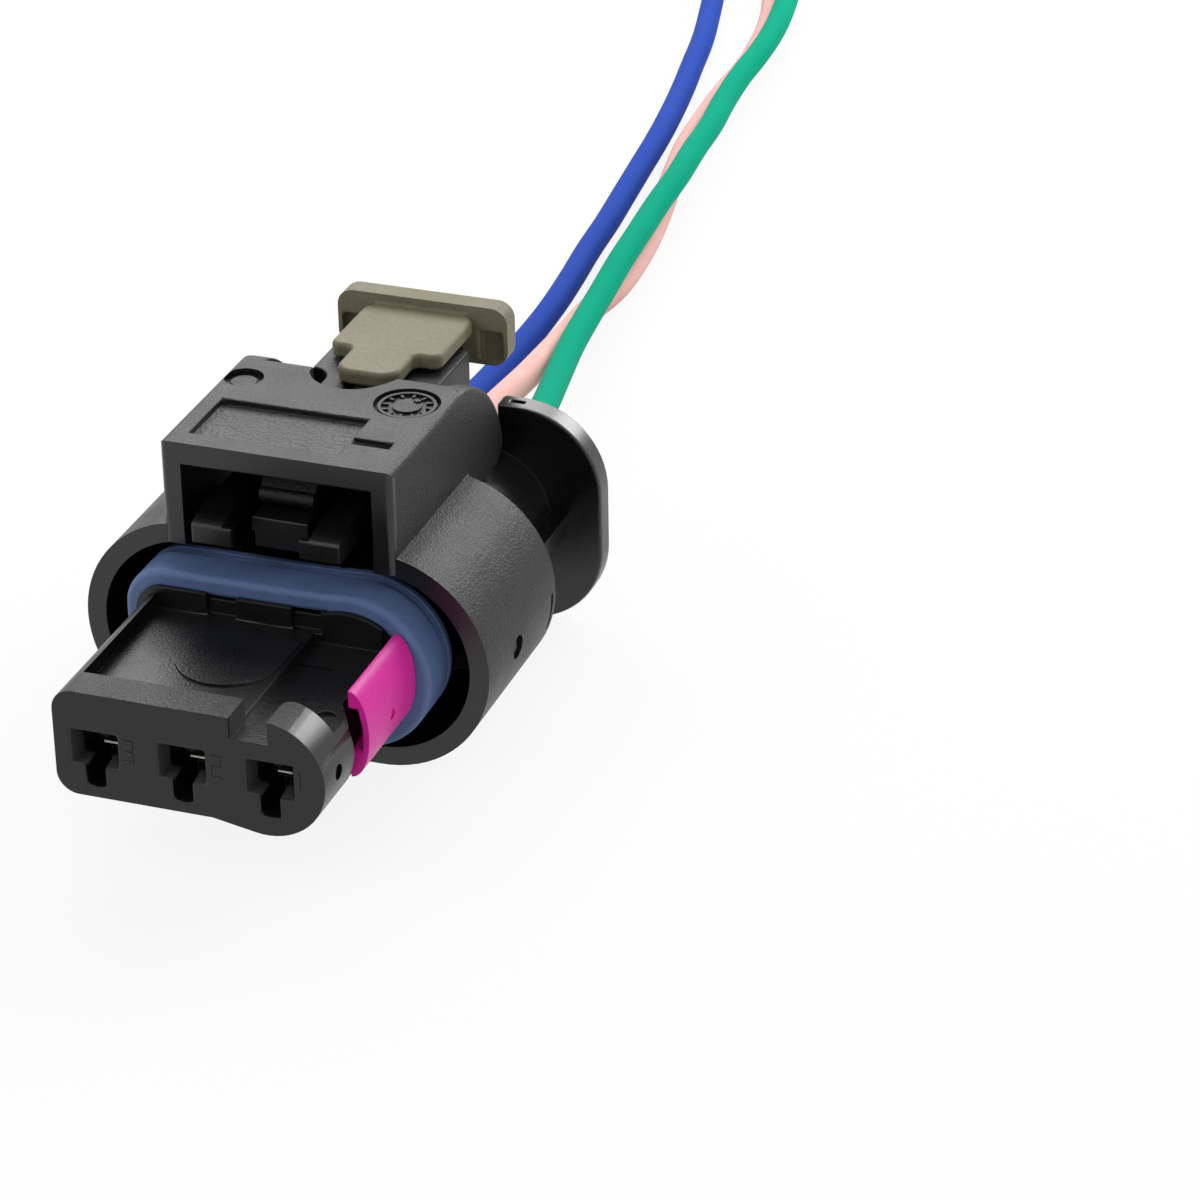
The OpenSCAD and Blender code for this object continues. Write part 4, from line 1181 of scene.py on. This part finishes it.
@dataclass
class StampDial:
    """The mould's plain dial in the roof: a rim, twelve ticks and a boss with a pointer, and no marks."""

    centre_mm: tuple[float, float] = (3.5, 2.91)
    floor_mm: float = 14.24
    radius_mm: float = 1.32
    height_mm: float = 0.22
    rim_mm: float = 0.16
    dish_mm: float = 0.14
    tick_mm: float = 0.3
    gap_mm: float = 0.2
    edge_mm: float = 0.02
    ticks: int = 12
    sectors: int = 48
    pointer_deg: float = 60.0
    pointer_half_deg: float = 16.0
    # How high the boss, the ticks and the pointer rise, as shares of the dish's depth
    boss_share: float = 0.8
    tick_share: float = 0.7
    pointer_share: float = 0.5

    def build(self) -> None:
        """Makes the dial from one disc and puts it in its recess."""
        bpy.ops.object.select_all(action="DESELECT")
        bpy.ops.mesh.primitive_cylinder_add(vertices=self.sectors, radius=self.radius_mm,
                                            depth=self.height_mm)
        piece = bpy.context.object
        piece.name = piece.data.name = "stamp_dial"
        select_faces(piece, lambda face: face.normal.z > LOOKS_UP)
        bpy.ops.mesh.inset(thickness=self.rim_mm)
        raise_faces(-self.dish_mm)
        bpy.ops.mesh.inset(thickness=self.tick_mm)
        bpy.ops.mesh.inset(thickness=self.gap_mm)
        raise_faces(self.dish_mm * self.boss_share)
        bpy.ops.mesh.inset(thickness=self.gap_mm)
        select_faces(piece, self.is_tick)
        raise_faces(self.dish_mm * self.tick_share)
        select_faces(piece, self.is_pointer)
        raise_faces(self.dish_mm * self.pointer_share)
        bpy.ops.object.mode_set(mode="OBJECT")
        bevel = piece.modifiers.new("edges", "BEVEL")
        bevel.width = self.edge_mm
        bevel.limit_method = "ANGLE"
        bpy.ops.object.modifier_apply(modifier=bevel.name)
        bpy.ops.object.shade_smooth_by_angle(angle=math.radians(SHARP_DEG))
        place = Matrix.Translation((*self.centre_mm, self.floor_mm + self.height_mm / 2))
        piece.data.transform(Matrix.Scale(MM, 4) @ place)
        piece.data.materials.append(GRAINED_BLACK_PBT.build())
        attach(piece, Body.PLUG.value)
        LOG.info("%s: %d faces", piece.name, len(piece.data.polygons))

    def is_tick(self, face: bpy.types.MeshPolygon) -> bool:
        """Tells whether a face of the dish is one that a tick stands on.

        Args:
            face: a face of the dial.

        Returns:
            True for one face in every few of the ring beside the rim.
        """
        ring = self.radius_mm - self.rim_mm - self.tick_mm / 2
        on_ring = abs(face.center.xy.length - ring) < self.tick_mm / 4 and face.normal.z > LOOKS_UP
        turn = math.atan2(face.center.y, face.center.x) / math.tau * self.sectors - 0.5
        return on_ring and round(turn) % (self.sectors // self.ticks) == 0

    def is_pointer(self, face: bpy.types.MeshPolygon) -> bool:
        """Tells whether a face on the boss belongs to the pointer.

        Args:
            face: a face of the dial.

        Returns:
            True for the faces on the boss's rim that lie the pointer's way.
        """
        boss = self.radius_mm - self.rim_mm - self.tick_mm - self.gap_mm
        on_boss = self.gap_mm < face.center.xy.length < boss and face.normal.z > LOOKS_UP
        turn = math.degrees(math.atan2(face.center.y, face.center.x)) - self.pointer_deg
        return on_boss and abs(turn) < self.pointer_half_deg


@dataclass
class CavityNumbers:
    """The raised numbers beside the pin openings, drawn as thin round strokes."""

    beside_mm: float = 1.36
    middle_mm: float = 5.55
    stroke_mm: float = 0.1
    section_steps: int = 1
    wide_mm: float = 0.42
    half_mm: float = 0.5
    one_half_mm: float = 0.36
    # The three's middle: how far its point reaches in, and half the height of its opening
    point_mm: float = 0.15
    notch_mm: float = 0.06

    def strokes(self) -> tuple[tuple[tuple[float, float], ...], ...]:
        """Gives the strokes of three, two and one, across and up from the middle of each one's left side."""
        wide, half, notch = self.wide_mm, self.half_mm, self.notch_mm
        three = ((0, half), (wide, half), (wide, notch), (self.point_mm, 0), (wide, -notch), (wide, -half),
                 (0, -half))
        two = ((0, half), (wide, half), (wide, 0), (0, 0), (0, -half), (wide, -half))
        one = ((0, self.one_half_mm), (0, -self.one_half_mm))
        return (three, two, one)

    def build(self) -> None:
        """Makes the three numbers as one mesh on the front face."""
        curve = round_curve("cavity_numbers", self.stroke_mm, self.section_steps)
        for pin, points in zip(PIN_PLACES_MM, self.strokes()):
            spline = curve.splines.new("POLY")
            spline.points.add(len(points) - 1)
            for point, (across, up) in zip(spline.points, points):
                place = Vector((pin + self.beside_mm + across, MATING_FACE_MM, self.middle_mm + up)) * MM
                point.co = (*place, 1.0)
        curve.materials.append(SATIN_BLACK_PBT.build())
        piece = curve_to_mesh(curve)
        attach(piece, Body.PLUG.value)
        LOG.info("%s: %d faces", piece.name, len(piece.data.polygons))


@dataclass
class Contacts:
    """Terminals with eased edges, and cover springs and wire seals, which keep the CAD's meshes."""

    sides: tuple[str, ...] = ("left", "centre", "right")
    edge_mm: float = 0.03

    def build(self) -> None:
        """Makes the terminals, and gives the springs and the wire seals their finish."""
        for side in self.sides:
            # Each terminal carries painted shade, with a painted glint on its lips' front edges
            MouldedPiece("terminal_" + side, Body.PLUG, "tinned_contact", TIN_WITH_PAINTED_SHADE, self.edge_mm,
                         segments=1, patches=(LIP_GLINT_PATCH,), made="stamping").build()
        kinds = (("terminal_spring_", SPRING_STEEL), ("wire_seal_", BROWN_SILICONE))
        for stem, finish in kinds:
            material = finish.build()
            for side in self.sides:
                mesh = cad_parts[stem + side].data
                mesh.materials.clear()
                mesh.materials.append(material)


def main() -> None:
    """Builds the scene in order: camera and cords, then the plug, then the studio."""
    logging.basicConfig(level=logging.INFO)
    PhotoCamera().place()
    Pigtail().build()
    Mouldings().build()
    StampDial().build()
    CavityNumbers().build()
    Contacts().build()
    studio = Studio()
    studio.light()
    studio.table()


if __name__ == "__main__":
    main()
